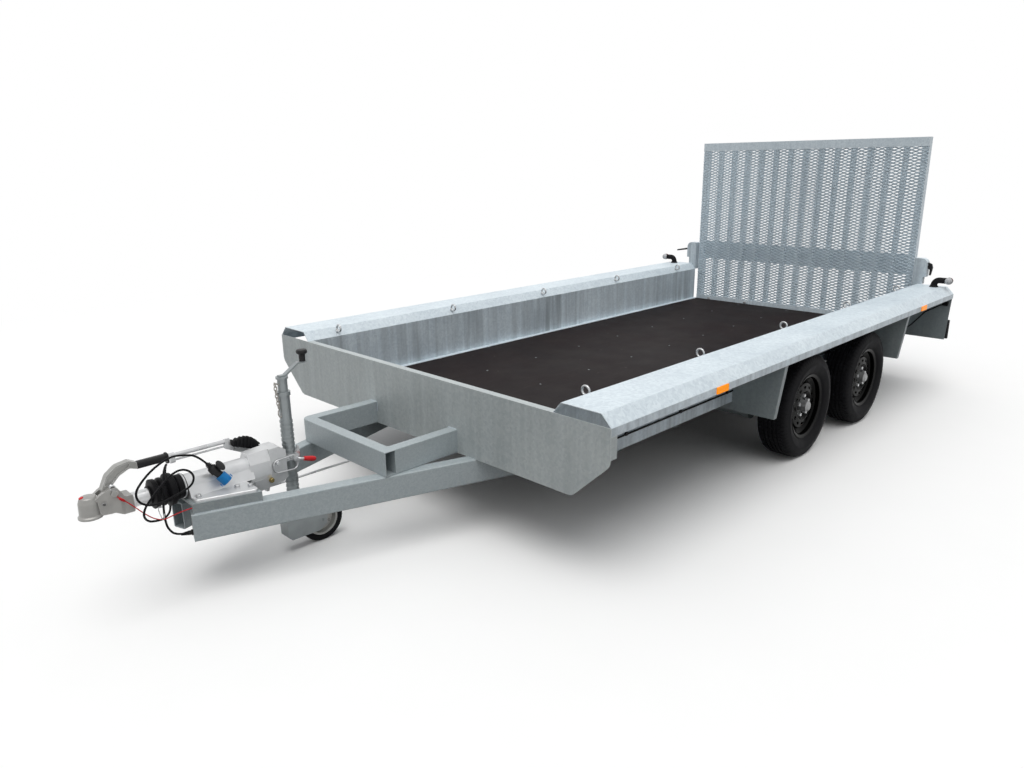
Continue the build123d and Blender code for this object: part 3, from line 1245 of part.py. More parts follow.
# Clamp: split ring round the tube with a lug to the housing bracket.
CLAMP_Z = 413.0
CLAMP_HEIGHT = 26.0
CLAMP_LAP = 26.0          # lug's reach between the bracket's plates
BAIL_Y = BRACKET_HALF + 5.0
BAIL_R = 3.0
HOOK_Y = JOCKEY_TUBE_R + 10.0
HOOK_THICK = 6.0
with BuildPart() as clamp:
    with BuildSketch(Plane.XY.offset(CLAMP_Z)):
        with Locations((JOCKEY_AXIS_X, 0)):
            Circle(JOCKEY_TUBE_R + 11.0)
        with Locations(((JOCKEY_AXIS_X + ahead(BRACKET_REAR) + CLAMP_LAP) / 2, 0)):
            Rectangle(ahead(BRACKET_REAR) + CLAMP_LAP - JOCKEY_AXIS_X, 2 * (BRACKET_HALF - BRACKET_WALL))
        with Locations((JOCKEY_AXIS_X - 6.0, JOCKEY_TUBE_R + 10.0)):
            Rectangle(26.0, 36.0)
        with Locations((JOCKEY_AXIS_X, 0)):
            Circle(JOCKEY_TUBE_R + RUNNING, mode=Mode.SUBTRACT)
    extrude(amount=CLAMP_HEIGHT)
    # Its lever: a bent round bar with a plastic tip, folded against the clamp.
    with BuildLine() as bar:
        FilletPolyline(
            (JOCKEY_AXIS_X - 6.0, JOCKEY_TUBE_R + 27.0, CLAMP_Z + CLAMP_HEIGHT / 2),
            (JOCKEY_AXIS_X - 6.0, JOCKEY_TUBE_R + 44.0, CLAMP_Z + CLAMP_HEIGHT / 2),
            (JOCKEY_AXIS_X - 75.0, JOCKEY_TUBE_R + 48.0, CLAMP_Z - 6.0),
            radius=9.0,
        )
    with BuildSketch(Plane(origin=bar.line @ 0, z_dir=bar.line % 0)):
        Circle(5.0)
    sweep(path=bar.line)
    with BuildSketch(Plane(origin=bar.line @ 1, z_dir=bar.line % 1)):
        Circle(9.0)
    extrude(amount=-42.0)
    # Wire bail hung on the split lug, and the plate with its hook behind the tube.
    with BuildLine() as bail:
        FilletPolyline(
            (JOCKEY_AXIS_X + 98.0, BAIL_Y, CLAMP_Z - 30.0),
            (JOCKEY_AXIS_X + 98.0, BAIL_Y, CLAMP_Z + 22.0),
            (JOCKEY_AXIS_X - 10.0, BAIL_Y, CLAMP_Z + 28.0),
            (JOCKEY_AXIS_X - 10.0, BAIL_Y, CLAMP_Z - 36.0),
            radius=22.0,
            close=True,
        )
    with BuildSketch(Plane(origin=bail.line @ 0, z_dir=bail.line % 0)):
        Circle(BAIL_R)
    sweep(path=bail.line)
    with BuildSketch(Plane.XZ.offset(-HOOK_Y)):
        Polygon(
            (JOCKEY_AXIS_X - 8.0, CLAMP_Z - 30.0),
            (JOCKEY_AXIS_X - 24.0, CLAMP_Z - 22.0),
            (JOCKEY_AXIS_X - 31.0, CLAMP_Z + 10.0),
            (JOCKEY_AXIS_X - 27.0, CLAMP_Z + 56.0),
            (JOCKEY_AXIS_X - 19.0, CLAMP_Z + 58.0),
            (JOCKEY_AXIS_X - 14.0, CLAMP_Z + 34.0),
            (JOCKEY_AXIS_X - 4.0, CLAMP_Z + 24.0),
            align=None,
        )
    extrude(amount=HOOK_THICK)
write(clamp.part, "jockey_clamp")

# Winding head: cap, crank arm and knob.
with BuildPart() as crank:
    with BuildSketch(Plane.XY.offset(JOCKEY_TUBE_TOP)):
        with Locations((JOCKEY_AXIS_X, 0)):
            Circle(20.0)
    extrude(amount=54.0)
    with BuildSketch(Plane.XY.offset(JOCKEY_TUBE_TOP + 54.0)):
        with Locations((JOCKEY_AXIS_X, 0)):
            Circle(25.0)
    extrude(amount=8.0)
    with BuildSketch(Plane.XZ):
        Polygon(
            (JOCKEY_AXIS_X + 14.0, JOCKEY_TUBE_TOP + 62.0),
            (JOCKEY_AXIS_X - 16.0, JOCKEY_TUBE_TOP + 62.0),
            (JOCKEY_AXIS_X - 72.0, JOCKEY_TUBE_TOP + 102.0),
            (JOCKEY_AXIS_X - 112.0, JOCKEY_TUBE_TOP + 102.0),
            (JOCKEY_AXIS_X - 112.0, JOCKEY_TUBE_TOP + 108.0),
            (JOCKEY_AXIS_X - 70.0, JOCKEY_TUBE_TOP + 108.0),
            (JOCKEY_AXIS_X - 10.0, JOCKEY_TUBE_TOP + 68.0),
            (JOCKEY_AXIS_X + 14.0, JOCKEY_TUBE_TOP + 68.0),
            align=None,
        )
    extrude(amount=11.0, both=True)
    with BuildSketch(Plane.XZ):
        Polygon(
            (JOCKEY_AXIS_X - 98.0, JOCKEY_TUBE_TOP + 108.0),
            (JOCKEY_AXIS_X - 98.0 + 12.0, JOCKEY_TUBE_TOP + 108.0),
            (JOCKEY_AXIS_X - 98.0 + 11.0, JOCKEY_TUBE_TOP + 138.0),
            (JOCKEY_AXIS_X - 98.0 + 22.0, JOCKEY_TUBE_TOP + 144.0),
            (JOCKEY_AXIS_X - 98.0 + 22.0, JOCKEY_TUBE_TOP + 152.0),
            (JOCKEY_AXIS_X - 98.0, JOCKEY_TUBE_TOP + 157.0),
            align=None,
        )
    revolve(axis=Axis((JOCKEY_AXIS_X - 98.0, 0, 0), (0, 0, 1)))
write(crank.part, "jockey_crank")

# Leg that winds up and down inside the tube.
with BuildPart() as leg:
    with BuildSketch(Plane.XY.offset(JOCKEY_FORK_TOP + FACE)):
        with Locations((JOCKEY_AXIS_X, 0)):
            Circle(JOCKEY_LEG_R)
            Circle(JOCKEY_LEG_R - LEG_WALL, mode=Mode.SUBTRACT)
    extrude(amount=LEG_TOP - JOCKEY_FORK_TOP - FACE)
write(leg.part, "jockey_leg")

# Fork: deep folded cheeks that trail behind the leg, and the spigot it swivels on.
FORK_OUTLINE = [
    (JOCKEY_AXIS_X + 60.0, JOCKEY_FORK_TOP),
    (JOCKEY_AXIS_X + 56.0, 72.0),
    (JOCKEY_AXIS_X + 40.0, 57.0),
    (JOCKEY_HUB_X + 22.0, 57.0),
    (JOCKEY_HUB_X - 12.0, JOCKEY_WHEEL_R - 22.0),
    (JOCKEY_HUB_X - 20.0, JOCKEY_WHEEL_R + 14.0),
    (JOCKEY_AXIS_X - 40.0, JOCKEY_FORK_TOP),
]
AXLE_PIN_R = 6.0
with BuildPart() as fork:
    with BuildSketch(Plane.XZ):
        Polygon(*FORK_OUTLINE, align=None)
    extrude(amount=FORK_HALF, both=True)
    with BuildSketch(Plane.XZ):
        Polygon(
            (JOCKEY_AXIS_X + 60.0 - FORK_PLATE, JOCKEY_FORK_TOP - FORK_PLATE),
            (JOCKEY_AXIS_X + 56.0 - FORK_PLATE, 40.0),
            (JOCKEY_HUB_X - 60.0, 40.0),
            (JOCKEY_HUB_X - 60.0, JOCKEY_FORK_TOP - FORK_PLATE),
            align=None,
        )
    extrude(amount=FORK_HALF - FORK_PLATE, both=True, mode=Mode.SUBTRACT)
    with BuildSketch(Plane.XZ):
        with Locations((JOCKEY_HUB_X, JOCKEY_WHEEL_R)):
            Circle(AXLE_PIN_R)
    extrude(amount=FORK_HALF + 5.0, both=True)
    with BuildSketch(Plane.XY.offset(JOCKEY_FORK_TOP)):
        with Locations((JOCKEY_AXIS_X, 0)):
            Circle(JOCKEY_LEG_R - LEG_WALL - RUNNING)
    extrude(amount=35.0)
write(fork.part, "jockey_fork")

JOCKEY_RIM_R = 68.0
jockey_spin = Axis((JOCKEY_HUB_X, 0, JOCKEY_WHEEL_R), (0, 1, 0))
jockey_plane = wheel_plane(JOCKEY_HUB_X, JOCKEY_WHEEL_R, 1)
with BuildPart() as jockey_rim:
    with BuildSketch(jockey_plane):
        half = JOCKEY_WHEEL_WIDTH / 2
        Polygon(
            (-half + 2.0, JOCKEY_RIM_R + 4.0),
            (-half + 2.0, JOCKEY_RIM_R - 4.0),
            (-5.0, JOCKEY_RIM_R - 12.0),
            (-5.0, 20.0),
            (-half, 18.0),
            (-half, AXLE_PIN_R + RUNNING),
            (half, AXLE_PIN_R + RUNNING),
            (half, 18.0),
            (5.0, 20.0),
            (5.0, JOCKEY_RIM_R - 12.0),
            (half - 2.0, JOCKEY_RIM_R - 4.0),
            (half - 2.0, JOCKEY_RIM_R + 4.0),
            (half - 8.0, JOCKEY_RIM_R),
            (-half + 8.0, JOCKEY_RIM_R),
            align=None,
        )
    revolve(axis=jockey_spin)
write(jockey_rim.part, "jockey_rim")

with BuildPart() as jockey_tyre:
    with BuildSketch(jockey_plane):
        with BuildLine():
            FilletPolyline(
                (-half + 9.0, JOCKEY_RIM_R + FACE),
                (half - 9.0, JOCKEY_RIM_R + FACE),
                (half, JOCKEY_RIM_R + 14.0),
                (half - 3.0, JOCKEY_WHEEL_R),
                (-half + 3.0, JOCKEY_WHEEL_R),
                (-half, JOCKEY_RIM_R + 14.0),
                radius=[1.0, 1.0, 6.0, 6.0, 6.0, 6.0],
                close=True,
            )
        make_face()
    revolve(axis=jockey_spin)
write(jockey_tyre.part, "jockey_tyre")

# ---------------------------------------------------------------- cables
# Cap in the left beam's front end, with the gland of the trailer's cable.
GLAND_Z = 262.0
CABLE_R = 4.0
GLAND_LONG = 16.0
CAP_THICK = 8.0
cap_x, cap_y = beam_end(BEAM_FRONT, BEAM_WIDTH / 2)
beam_way = Vector(cos(radians(BEAM_ANGLE)), -sin(radians(BEAM_ANGLE)), 0)
cap_centre = Vector(cap_x, cap_y, BEAM_FOOT + BEAM_HEIGHT / 2)
gland_root = Vector(cap_x, cap_y, GLAND_Z)
with BuildPart() as end_cap:
    with BuildSketch(Plane(origin=cap_centre, x_dir=(0, 0, 1), z_dir=beam_way)):
        Rectangle(BEAM_HEIGHT - 2 * BEAM_WALL, BEAM_WIDTH - 2 * BEAM_WALL)
    extrude(amount=-CAP_THICK)
    with BuildSketch(Plane(origin=gland_root, z_dir=beam_way)):
        Circle(2.2 * CABLE_R)
    extrude(amount=GLAND_LONG)
write(end_cap.part, "cable_gland")

GLAND_END = gland_root + beam_way * GLAND_LONG
GLAND_LEAD = gland_root + beam_way * (GLAND_LONG + 42.0)
PLUG_TAIL = Vector(ahead(1000.0), 52.0, 508.0)
PLUG_NOSE = Vector(ahead(943.0), 88.0, 428.0)
PLUG_LEAD = PLUG_TAIL + (PLUG_TAIL - PLUG_NOSE) * 0.44
CABLE_BENDS = [
    (1172.0, 52.0, 300.0),
    (1182.0, 66.0, 348.0),
    (1184.0, 76.0, 396.0),
    (1182.0, 82.0, 442.0),
    (1174.0, 82.0, 488.0),
    (1162.0, 64.0, 526.0),
    (1140.0, 28.0, 534.5),
    (1120.0, -16.0, 523.0),
    (1114.0, -54.0, 498.0),
    (1112.0, -72.0, 460.0),
    (1112.0, -72.0, 414.0),
    (1116.0, -58.0, 372.0),
    (1126.0, -22.0, 346.0),
    (1150.0, 18.0, 340.0),
    (1182.0, 50.0, 342.0),
    (1214.0, 82.0, 358.0),
    (1248.0, 94.0, 370.0),
    (1263.0, 97.0, 400.0),
    (1247.0, 94.0, 432.0),
    (1214.0, 94.0, 464.0),
    (1180.0, 93.0, 496.0),
    (1146.0, 88.0, 518.0),
    (1110.0, 84.0, 527.0),
    (1079.0, 87.0, 514.0),
    (1066.0, 93.0, 487.0),
    (1082.0, 99.0, 460.0),
    (1118.0, 103.0, 448.0),
    (1160.0, 107.0, 440.0),
    (1204.0, 110.0, 432.0),
    (1244.0, 110.0, 436.0),
    (1274.0, 105.0, 458.0),
    (1277.0, 98.0, 492.0),
    (1250.0, 89.0, 520.0),
    (1212.0, 78.0, 546.0),
    (1168.0, 62.0, 562.0),
    (1122.0, 47.0, 570.0),
    (1074.0, 38.0, 560.0),
]


def bends(places):
    """Corners of a cord's route, from their distances ahead of the headboard."""
    return [Vector(ahead(x), y, z) for x, y, z in places]


def cord_radii(points):
    """Radii of the largest even arcs between the straight runs of a cord's route."""
    radii = []
    for before, corner, after in zip(points, points[1:], points[2:]):
        turn = radians((corner - before).get_angle(after - corner))
        shorter = min((corner - before).length, (after - corner).length)
        radii.append(0.45 * shorter / tan(turn / 2))
    return radii


def print_cord(name, piece, radius, path, radii):
    """Report a cord's arc radii, and its volume against section times length."""
    print(name, "radii", [round(r) for r in radii], "smallest", round(min(radii), 1))
    length = sum(edge.length for edge in path.edges())
    print(name, "length", round(length), "volume ratio",
          round(piece.volume / (pi * radius**2 * length), 4))


cable_route = [GLAND_END, GLAND_LEAD, *bends(CABLE_BENDS), PLUG_LEAD, PLUG_TAIL]
cable_radii = cord_radii(cable_route)
with BuildPart() as cable:
    with BuildLine() as route:
        FilletPolyline(*cable_route, radius=cable_radii)
    with BuildSketch(Plane(origin=route.line @ 0, z_dir=route.line % 0)):
        Circle(CABLE_R)
    sweep(path=route.line)
write(cable.part, "trailer_cable")
print_cord("trailer_cable", cable.part, CABLE_R, route.line, cable_radii)

# Plug: tapered tail, body and coloured collar on one axis.
plug_axis = (PLUG_NOSE - PLUG_TAIL).normalized()
plug_long = (PLUG_NOSE - PLUG_TAIL).length
with BuildPart() as plug:
    with BuildSketch(Plane(origin=PLUG_TAIL, z_dir=plug_axis)):
        Circle(1.6 * CABLE_R)
    with BuildSketch(Plane(origin=PLUG_TAIL + plug_axis * 0.35 * plug_long, z_dir=plug_axis)):
        Circle(13.0)
    loft()
    with BuildSketch(Plane(origin=PLUG_TAIL + plug_axis * 0.35 * plug_long, z_dir=plug_axis)):
        Circle(15.0)
    extrude(amount=0.28 * plug_long)
write(plug.part, "plug_body")

with BuildPart() as plug_collar:
    with BuildSketch(Plane(origin=PLUG_TAIL + plug_axis * 0.63 * plug_long, z_dir=plug_axis)):
        Circle(21.0)
    extrude(amount=0.37 * plug_long)
    with BuildSketch(Plane(origin=PLUG_NOSE, z_dir=plug_axis)):
        Circle(16.0)
    extrude(amount=-0.3 * plug_long, mode=Mode.SUBTRACT)
write(plug_collar.part, "plug_collar")

# Breakaway cable: thin, from the coupling head back to the block below the housing.
BREAKAWAY_R = 2.0
BREAKAWAY_Y = beam_edge(SPACER_FRONT, SPACER_INSET + SPACER_WALL / 2)
breakaway_route = bends([
    (SPACER_FRONT, BREAKAWAY_Y, 367.0),
    (1118.0, BREAKAWAY_Y, 367.0),
    (1150.0, 86.0, 362.0),
    (1182.0, 80.0, 358.0),
    (1214.0, 70.0, 366.0),
    (1244.0, 62.0, 388.0),
    (1268.0, 57.0, 418.0),
    (1292.0, 53.0, 447.0),
    (1316.0, 49.0, 470.0),
    (1316.0, EAR_HALF, 470.0),
])
breakaway_radii = cord_radii(breakaway_route)
with BuildPart() as breakaway:
    with BuildLine() as route:
        FilletPolyline(*breakaway_route, radius=breakaway_radii)
    with BuildSketch(Plane(origin=route.line @ 0, z_dir=route.line % 0)):
        Circle(BREAKAWAY_R)
    sweep(path=route.line)
write(breakaway.part, "breakaway_cable")
print_cord("breakaway_cable", breakaway.part, BREAKAWAY_R, route.line, breakaway_radii)

# Lamp leads: clipped along each wall, through the splash plates and up the lamp boards.
LEAD_START = 40.0         # headboard face to the leads' front ends
LEAD_DROP = BODY_LENGTH - 430.0   # headboard face to where the leads go down below the wall
LEAD_LOW_Z = 378.0
LEAD_BEND = 30.0
BOARD_X = REAR_X + SHEET + LEAD_R + FACE
CLIP_PITCH = 420.0
CLIP_LONG = 16.0
CLIP_HEIGHT = 14.0
with BuildPart() as lamp_leads:
    for side in SIDES.values():
        with BuildLine() as route:
            FilletPolyline(
                (ahead(-LEAD_START), side * LEAD_Y, LEAD_Z),
                (ahead(-LEAD_DROP), side * LEAD_Y, LEAD_Z),
                (ahead(-LEAD_DROP) - 90.0, side * LEAD_Y, LEAD_LOW_Z),
                (BOARD_X + 2.0 * LEAD_BEND, side * LEAD_Y, LEAD_LOW_Z),
                (BOARD_X, side * (LEAD_Y + 30.0), LEAD_LOW_Z + 30.0),
                (BOARD_X, side * (WALL_Y + 118.0), 512.0),
                (BOARD_X, side * (WALL_Y + 198.0), 564.0),
                (BOARD_X, side * (OUTER_Y - 30.0), 590.0),
                radius=LEAD_BEND,
            )
        with BuildSketch(Plane(origin=route.line @ 0, z_dir=route.line % 0)):
            Circle(LEAD_R)
        sweep(path=route.line)
        # Clips on the wall, and the connector under the rail's lip.
        for index in range(int((LEAD_DROP - LEAD_START) / CLIP_PITCH) + 1):
            station = LEAD_START + CLIP_LONG + index * CLIP_PITCH
            with BuildSketch(Plane.YZ.offset(ahead(-station))):
                with Locations((side * LEAD_Y, LEAD_Z + (CLIP_HEIGHT / 2 - LEAD_R - FACE))):
                    Rectangle(2 * (LEAD_R + FACE), CLIP_HEIGHT)
            extrude(amount=CLIP_LONG)
        with BuildSketch(Plane.YZ.offset(REAR_X + SHEET)):
            with Locations((side * (OUTER_Y - 38.0), 588.0)):
                RectangleRounded(34.0, 26.0, 4.0)
        extrude(amount=24.0)
write(lamp_leads.part, "lamp_leads")
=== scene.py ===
import math

import bmesh
import bpy
from mathutils import Matrix, Vector


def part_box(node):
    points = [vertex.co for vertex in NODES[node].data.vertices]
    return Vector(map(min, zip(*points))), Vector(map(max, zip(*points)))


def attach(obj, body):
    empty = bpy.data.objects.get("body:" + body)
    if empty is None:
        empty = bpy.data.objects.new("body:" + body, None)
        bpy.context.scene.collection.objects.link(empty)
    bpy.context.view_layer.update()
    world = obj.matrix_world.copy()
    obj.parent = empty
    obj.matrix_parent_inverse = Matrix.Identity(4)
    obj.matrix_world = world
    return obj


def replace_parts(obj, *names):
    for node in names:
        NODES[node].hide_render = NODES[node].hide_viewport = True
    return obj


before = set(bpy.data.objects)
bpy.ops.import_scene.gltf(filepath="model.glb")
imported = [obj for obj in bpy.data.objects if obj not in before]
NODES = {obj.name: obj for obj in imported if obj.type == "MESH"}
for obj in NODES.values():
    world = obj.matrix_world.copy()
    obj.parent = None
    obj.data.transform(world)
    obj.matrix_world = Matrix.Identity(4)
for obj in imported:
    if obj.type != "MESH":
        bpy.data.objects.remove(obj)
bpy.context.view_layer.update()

bl_info = {
    "name": "Machinery trailer",
    "version": (1, 0, 0),
    "blender": (4, 5, 0),
    "location": "View3D > Sidebar > Trailer",
    "description": "Dresses the trailer's solid model with finishes, cables and small parts",
    "category": "Add Mesh",
}

AHEAD, LEFT, UP = Vector((1, 0, 0)), Vector((0, 1, 0)), Vector((0, 0, 1))
SIGNS = (1.0, -1.0)       # left side, right side
WHEELS = [(f"{axle}_{side}", sign)
          for axle in ("front", "rear") for side, sign in zip(("left", "right"), SIGNS)]

# Hexagons across their flats
M8, M10, M12 = 0.013, 0.017, 0.019


# ------------------------------------------------------------------ sizes and colours
def colour_setting(name, description, default):
    """A colour to pick in the panel."""
    return bpy.props.FloatVectorProperty(
        name=name, description=description, default=default, subtype="COLOR", size=3, min=0.0, max=1.0)


def length_setting(name, description, default):
    """A length in metres."""
    return bpy.props.FloatProperty(name=name, description=description, default=default, unit="LENGTH")


def angle_setting(name, description, degrees):
    """An angle, stored in radians."""
    return bpy.props.FloatProperty(
        name=name, description=description, default=math.radians(degrees), subtype="ANGLE")


def count_setting(name, description, default, least):
    """A whole number with a lower limit."""
    return bpy.props.IntProperty(name=name, description=description, default=default, min=least)


class FinishSettings(bpy.types.PropertyGroup):
    """Colours of the trailer's finishes."""

    zinc_dark: colour_setting("Dark zinc", "Darker crystals of galvanised sheet", (0.57, 0.655, 0.72))
    zinc_light: colour_setting("Light zinc", "Lighter crystals of galvanised sheet", (0.85, 0.935, 0.98))
    deck: colour_setting("Deck film", "Dark film of the plywood deck", (0.015, 0.0115, 0.012))
    casting: colour_setting("Casting paint", "Silver paint of the overrun housing", (0.66, 0.67, 0.68))
    wheel: colour_setting("Wheel paint", "Black paint of the steel wheels", (0.0018, 0.0018, 0.0018))
    rubber: colour_setting("Rubber", "Tyres, bellows and cable sheaths", (0.006, 0.006, 0.007))
    plug_blue: colour_setting("Plug collar", "Bright collar of the connector", (0.008, 0.20, 0.52))
    lever_red: colour_setting("Lever tip", "Red tip of the clamp's lever", (0.62, 0.015, 0.02))
    reflector_amber: colour_setting("Reflector", "Amber reflectors on the rails", (1.0, 0.30, 0.004))


class MeshSettings(bpy.types.PropertyGroup):
    """The ramp's expanded mesh."""

    columns: count_setting("Columns", "Openings across the ramp", 31, 4)
    rows: count_setting("Rows", "Strands from the sill to the top bar", 110, 4)
    strand_width: length_setting("Strand width", "Width of a strand of the mesh", 0.0098)
    strand_thick: length_setting("Strand thickness", "Thickness of a strand of the mesh", 0.003)
    tilt: angle_setting("Strand tilt", "How far the strands lean out of the sheet", 36.0)


class TyreSettings(bpy.types.PropertyGroup):
    """Tread of the road tyres, and the nuts that hold the wheels."""

    pitches: count_setting("Tread pitches", "Shoulder blocks round the tyre", 72, 12)
    groove_depth: length_setting("Groove depth", "Depth of the tread grooves", 0.007)
    groove_width: length_setting("Groove width", "Width of the grooves round the tyre", 0.008)
    nuts: count_setting("Wheel nuts", "Nuts that hold each wheel", 5, 3)
    nut_circle: length_setting("Nut circle", "Diameter of the circle of the wheel nuts", 0.112)


class CableSettings(bpy.types.PropertyGroup):
    """Diameters of the cables."""

    trailer_cable: length_setting("Trailer cable", "Diameter of the black trailer cable", 0.008)
    breakaway: length_setting("Breakaway cable", "Diameter of the thin red cable", 0.004)


class DeckSettings(bpy.types.PropertyGroup):
    """Screws of the plywood deck."""

    screw_rows: count_setting("Screw rows", "Rows of screws along the deck", 10, 2)
    screw_columns: count_setting("Screw columns", "Screws across the deck", 5, 2)


class StageSettings(bpy.types.PropertyGroup):
    """Camera and lights."""

    camera_place: bpy.props.FloatVectorProperty(
        name="Camera", description="Camera's place from the middle of the trailer's foot",
        subtype="XYZ", unit="LENGTH", size=3, default=(3.327, 2.765, 1.578))
    yaw: angle_setting("Yaw", "Direction of view, from the trailer's +X", 225.357)
    pitch: angle_setting("Pitch", "How far the camera looks down", 16.153)
    roll: angle_setting("Roll", "How far the camera leans", -0.782)
    lens: bpy.props.FloatProperty(name="Lens", description="Focal length on a 36 mm sensor", default=26.74)
    sky: bpy.props.FloatProperty(name="Sky", description="Even light from all round", default=0.60)
    key: bpy.props.FloatProperty(name="Key light", description="Wide light from above", default=1.35)


# ------------------------------------------------------------------ shader graphs
class Graph:
    """Adds nodes to a tree and joins them."""

    def __init__(self, tree):
        self.tree = tree

    def fill(self, node, values):
        """Join or set a node's inputs, by name or index."""
        for name, value in values.items():
            if hasattr(value, "is_output"):
                self.tree.links.new(value, node.inputs[name])
            else:
                node.inputs[name].default_value = value
        return node

    def add(self, kind, values=None, **settings):
        """Add a node, set its properties and fill its inputs."""
        node = self.tree.nodes.new(kind)
        for name, value in settings.items():
            setattr(node, name, value)
        return self.fill(node, values or {})

    def group(self, name, **values):
        """The outputs of a shared group that is placed with its own values."""
        tree = bpy.data.node_groups.get(name) or make_group(name)
        return self.add("ShaderNodeGroup", values, node_tree=tree).outputs

    def math(self, operation, first, second=0.0, clamp=False):
        """A Math node's result."""
        values = {0: first, 1: second}
        return self.add("ShaderNodeMath", values, operation=operation, use_clamp=clamp).outputs[0]

    def plus(self, first, second, clamp=False):
        return self.math("ADD", first, second, clamp)

    def times(self, first, second, clamp=False):
        return self.math("MULTIPLY", first, second, clamp)

    def remap(self, value, from_low, from_high, to_low=0.0, to_high=1.0):
        """A Map Range node's result."""
        return self.add("ShaderNodeMapRange", {
            "Value": value, "From Min": from_low, "From Max": from_high, "To Min": to_low, "To Max": to_high,
        }).outputs["Result"]

    def mix(self, factor, first, second):
        """A colour Mix node's result."""
        values = {0: factor}
        for index, value in ((6, first), (7, second)):
            values[index] = value if hasattr(value, "is_output") else (*value[:3], 1.0)
        return self.add("ShaderNodeMix", values, data_type="RGBA").outputs[2]

    def place(self):
        """Where the shaded point lies on its object."""
        return self.add("ShaderNodeTexCoord").outputs["Object"]

    def stretched(self, place, scale):
        """A place scaled along each axis."""
        return self.add("ShaderNodeMapping", {"Vector": place, "Scale": scale}).outputs[0]

    def normal(self):
        """The direction that the surface faces."""
        return self.add("ShaderNodeNewGeometry").outputs["Normal"]

    def upward(self, vector):
        """The upward part of a direction."""
        return self.add("ShaderNodeSeparateXYZ", {0: vector}).outputs[2]

    def noise(self, vector, scale, detail=3.0, roughness=0.5):
        """A Noise Texture's value."""
        values = {"Vector": vector, "Scale": scale, "Detail": detail, "Roughness": roughness}
        return self.add("ShaderNodeTexNoise", values).outputs["Fac"]

    def cells(self, vector, scale, **settings):
        """A Voronoi Texture's outputs."""
        return self.add("ShaderNodeTexVoronoi", {"Vector": vector, "Scale": scale}, **settings).outputs

    def seen_rays(self):
        """1 for rays that the camera, a shiny surface or a clear one sends, 0 for the others."""
        path = self.add("ShaderNodeLightPath").outputs
        straight = self.math("MAXIMUM", path["Is Camera Ray"], path["Is Transmission Ray"])
        return self.math("MAXIMUM", straight, path["Is Glossy Ray"])

    def paint_edge_highlight(self, colour, width, strength, bright):
        """Lighten a colour along the outer edges of a piece, as a painted highlight."""
        shine = self.group("Painted edge highlight", Width=width)["Mask"]
        return self.mix(self.times(shine, strength), colour, bright)


def zinc_spangle(g, inputs):
    """Crystals, dull patches and run marks of hot-dip zinc."""
    place = g.place()
    swirl = g.add("ShaderNodeTexNoise", {"Vector": place, "Scale": 25.0}).outputs["Color"]
    bend = g.add("ShaderNodeVectorMath", {0: swirl, "Scale": 0.02}, operation="SCALE").outputs[0]
    moved = g.add("ShaderNodeVectorMath", {0: place, 1: bend}, operation="ADD").outputs[0]
    cells = g.cells(moved, inputs["Grain"])["Color"]
    crystal = g.add("ShaderNodeSeparateColor", {"Color": cells}).outputs[0]
    fine = g.noise(place, 260.0, 2.0)
    broad = g.noise(place, 3.2, 4.0, 0.62)
    runs = g.noise(g.stretched(place, (38.0, 38.0, 1.6)), 1.0, 3.0, 0.6)
    grainy = g.plus(g.times(crystal, 0.42), g.times(fine, 0.35))
    patchy = g.times(g.math("SUBTRACT", broad, 0.5), inputs["Patches"])
    runny = g.times(g.math("SUBTRACT", runs, 0.5), inputs["Streaks"])
    return {
        "Shade": g.plus(g.plus(grainy, g.times(patchy, 2.2)), g.times(runny, 1.6), clamp=True),
        "Gloss": g.plus(g.times(crystal, 0.10), g.times(broad, 0.22)),
        "Height": g.plus(g.times(crystal, 0.25), g.times(broad, 0.75)),
    }


def road_dust(g, inputs):
    """Road dust: thicker on faces that look up, broken by noise."""
    lying = g.remap(g.upward(g.normal()), -0.2, 1.0, 0.35, 1.0)
    broken = g.remap(g.noise(g.place(), inputs["Scale"], 6.0, 0.66), 0.42, 0.72)
    return {"Mask": g.times(g.times(broken, lying), inputs["Amount"], clamp=True)}


def run_stains_and_side_shade(g, inputs):
    """Stains that run down upright faces, partly real and partly painted shade that keeps the sides darker
    than the tops: broad clouds broken into vertical streaks.
    """
    place = g.place()
    # Only upright faces darken: stains that run down them, and painted shade on the sides.
    upright = g.remap(g.math("ABSOLUTE", g.upward(g.normal())), 0.55, 0.20)
    runs = g.remap(g.noise(g.stretched(place, (17.0, 17.0, 0.9)), 1.0, 4.0, 0.62), 0.36, 0.66)
    cloud = g.remap(g.noise(place, 1.9, 3.0, 0.6), 0.30, 0.70, 0.35, 1.0)
    mask = g.times(g.times(runs, cloud), upright)
    return {"Mask": g.times(mask, inputs["Amount"], clamp=True)}


def painted_edge_highlight(g, inputs):
    """Mask along the outer edges of a piece, where a painted highlight goes."""
    rounded = g.add("ShaderNodeBevel", {"Radius": inputs["Width"]}, samples=4).outputs["Normal"]
    both = {0: g.normal(), 1: rounded}
    same = g.add("ShaderNodeVectorMath", both, operation="DOT_PRODUCT").outputs["Value"]
    return {"Mask": g.remap(same, 0.995, 0.80)}


GROUPS = {
    "Zinc spangle": (zinc_spangle, {"Grain": 60.0, "Streaks": 0.4, "Patches": 0.5}),
    "Road dust": (road_dust, {"Amount": 0.3, "Scale": 9.0}),
    "Run stains and side shade": (run_stains_and_side_shade, {"Amount": 0.5}),
    # The edge group paints highlights along the outer edges.
    "Painted edge highlight": (painted_edge_highlight, {"Width": 0.002}),
}


def make_group(name):
    """Build a shared group from its maker, with the inputs and their defaults."""
    maker, inputs = GROUPS[name]
    tree = bpy.data.node_groups.new(name, "ShaderNodeTree")
    for title, default in inputs.items():
        socket = tree.interface.new_socket(name=title, in_out="INPUT", socket_type="NodeSocketFloat")
        socket.default_value = default
    g = Graph(tree)
    results = maker(g, g.add("NodeGroupInput").outputs)
    for title in results:
        tree.interface.new_socket(name=title, in_out="OUTPUT", socket_type="NodeSocketFloat")
    g.add("NodeGroupOutput", results)
    return tree


# ------------------------------------------------------------------ materials
SPECULAR = "Specular IOR Level"


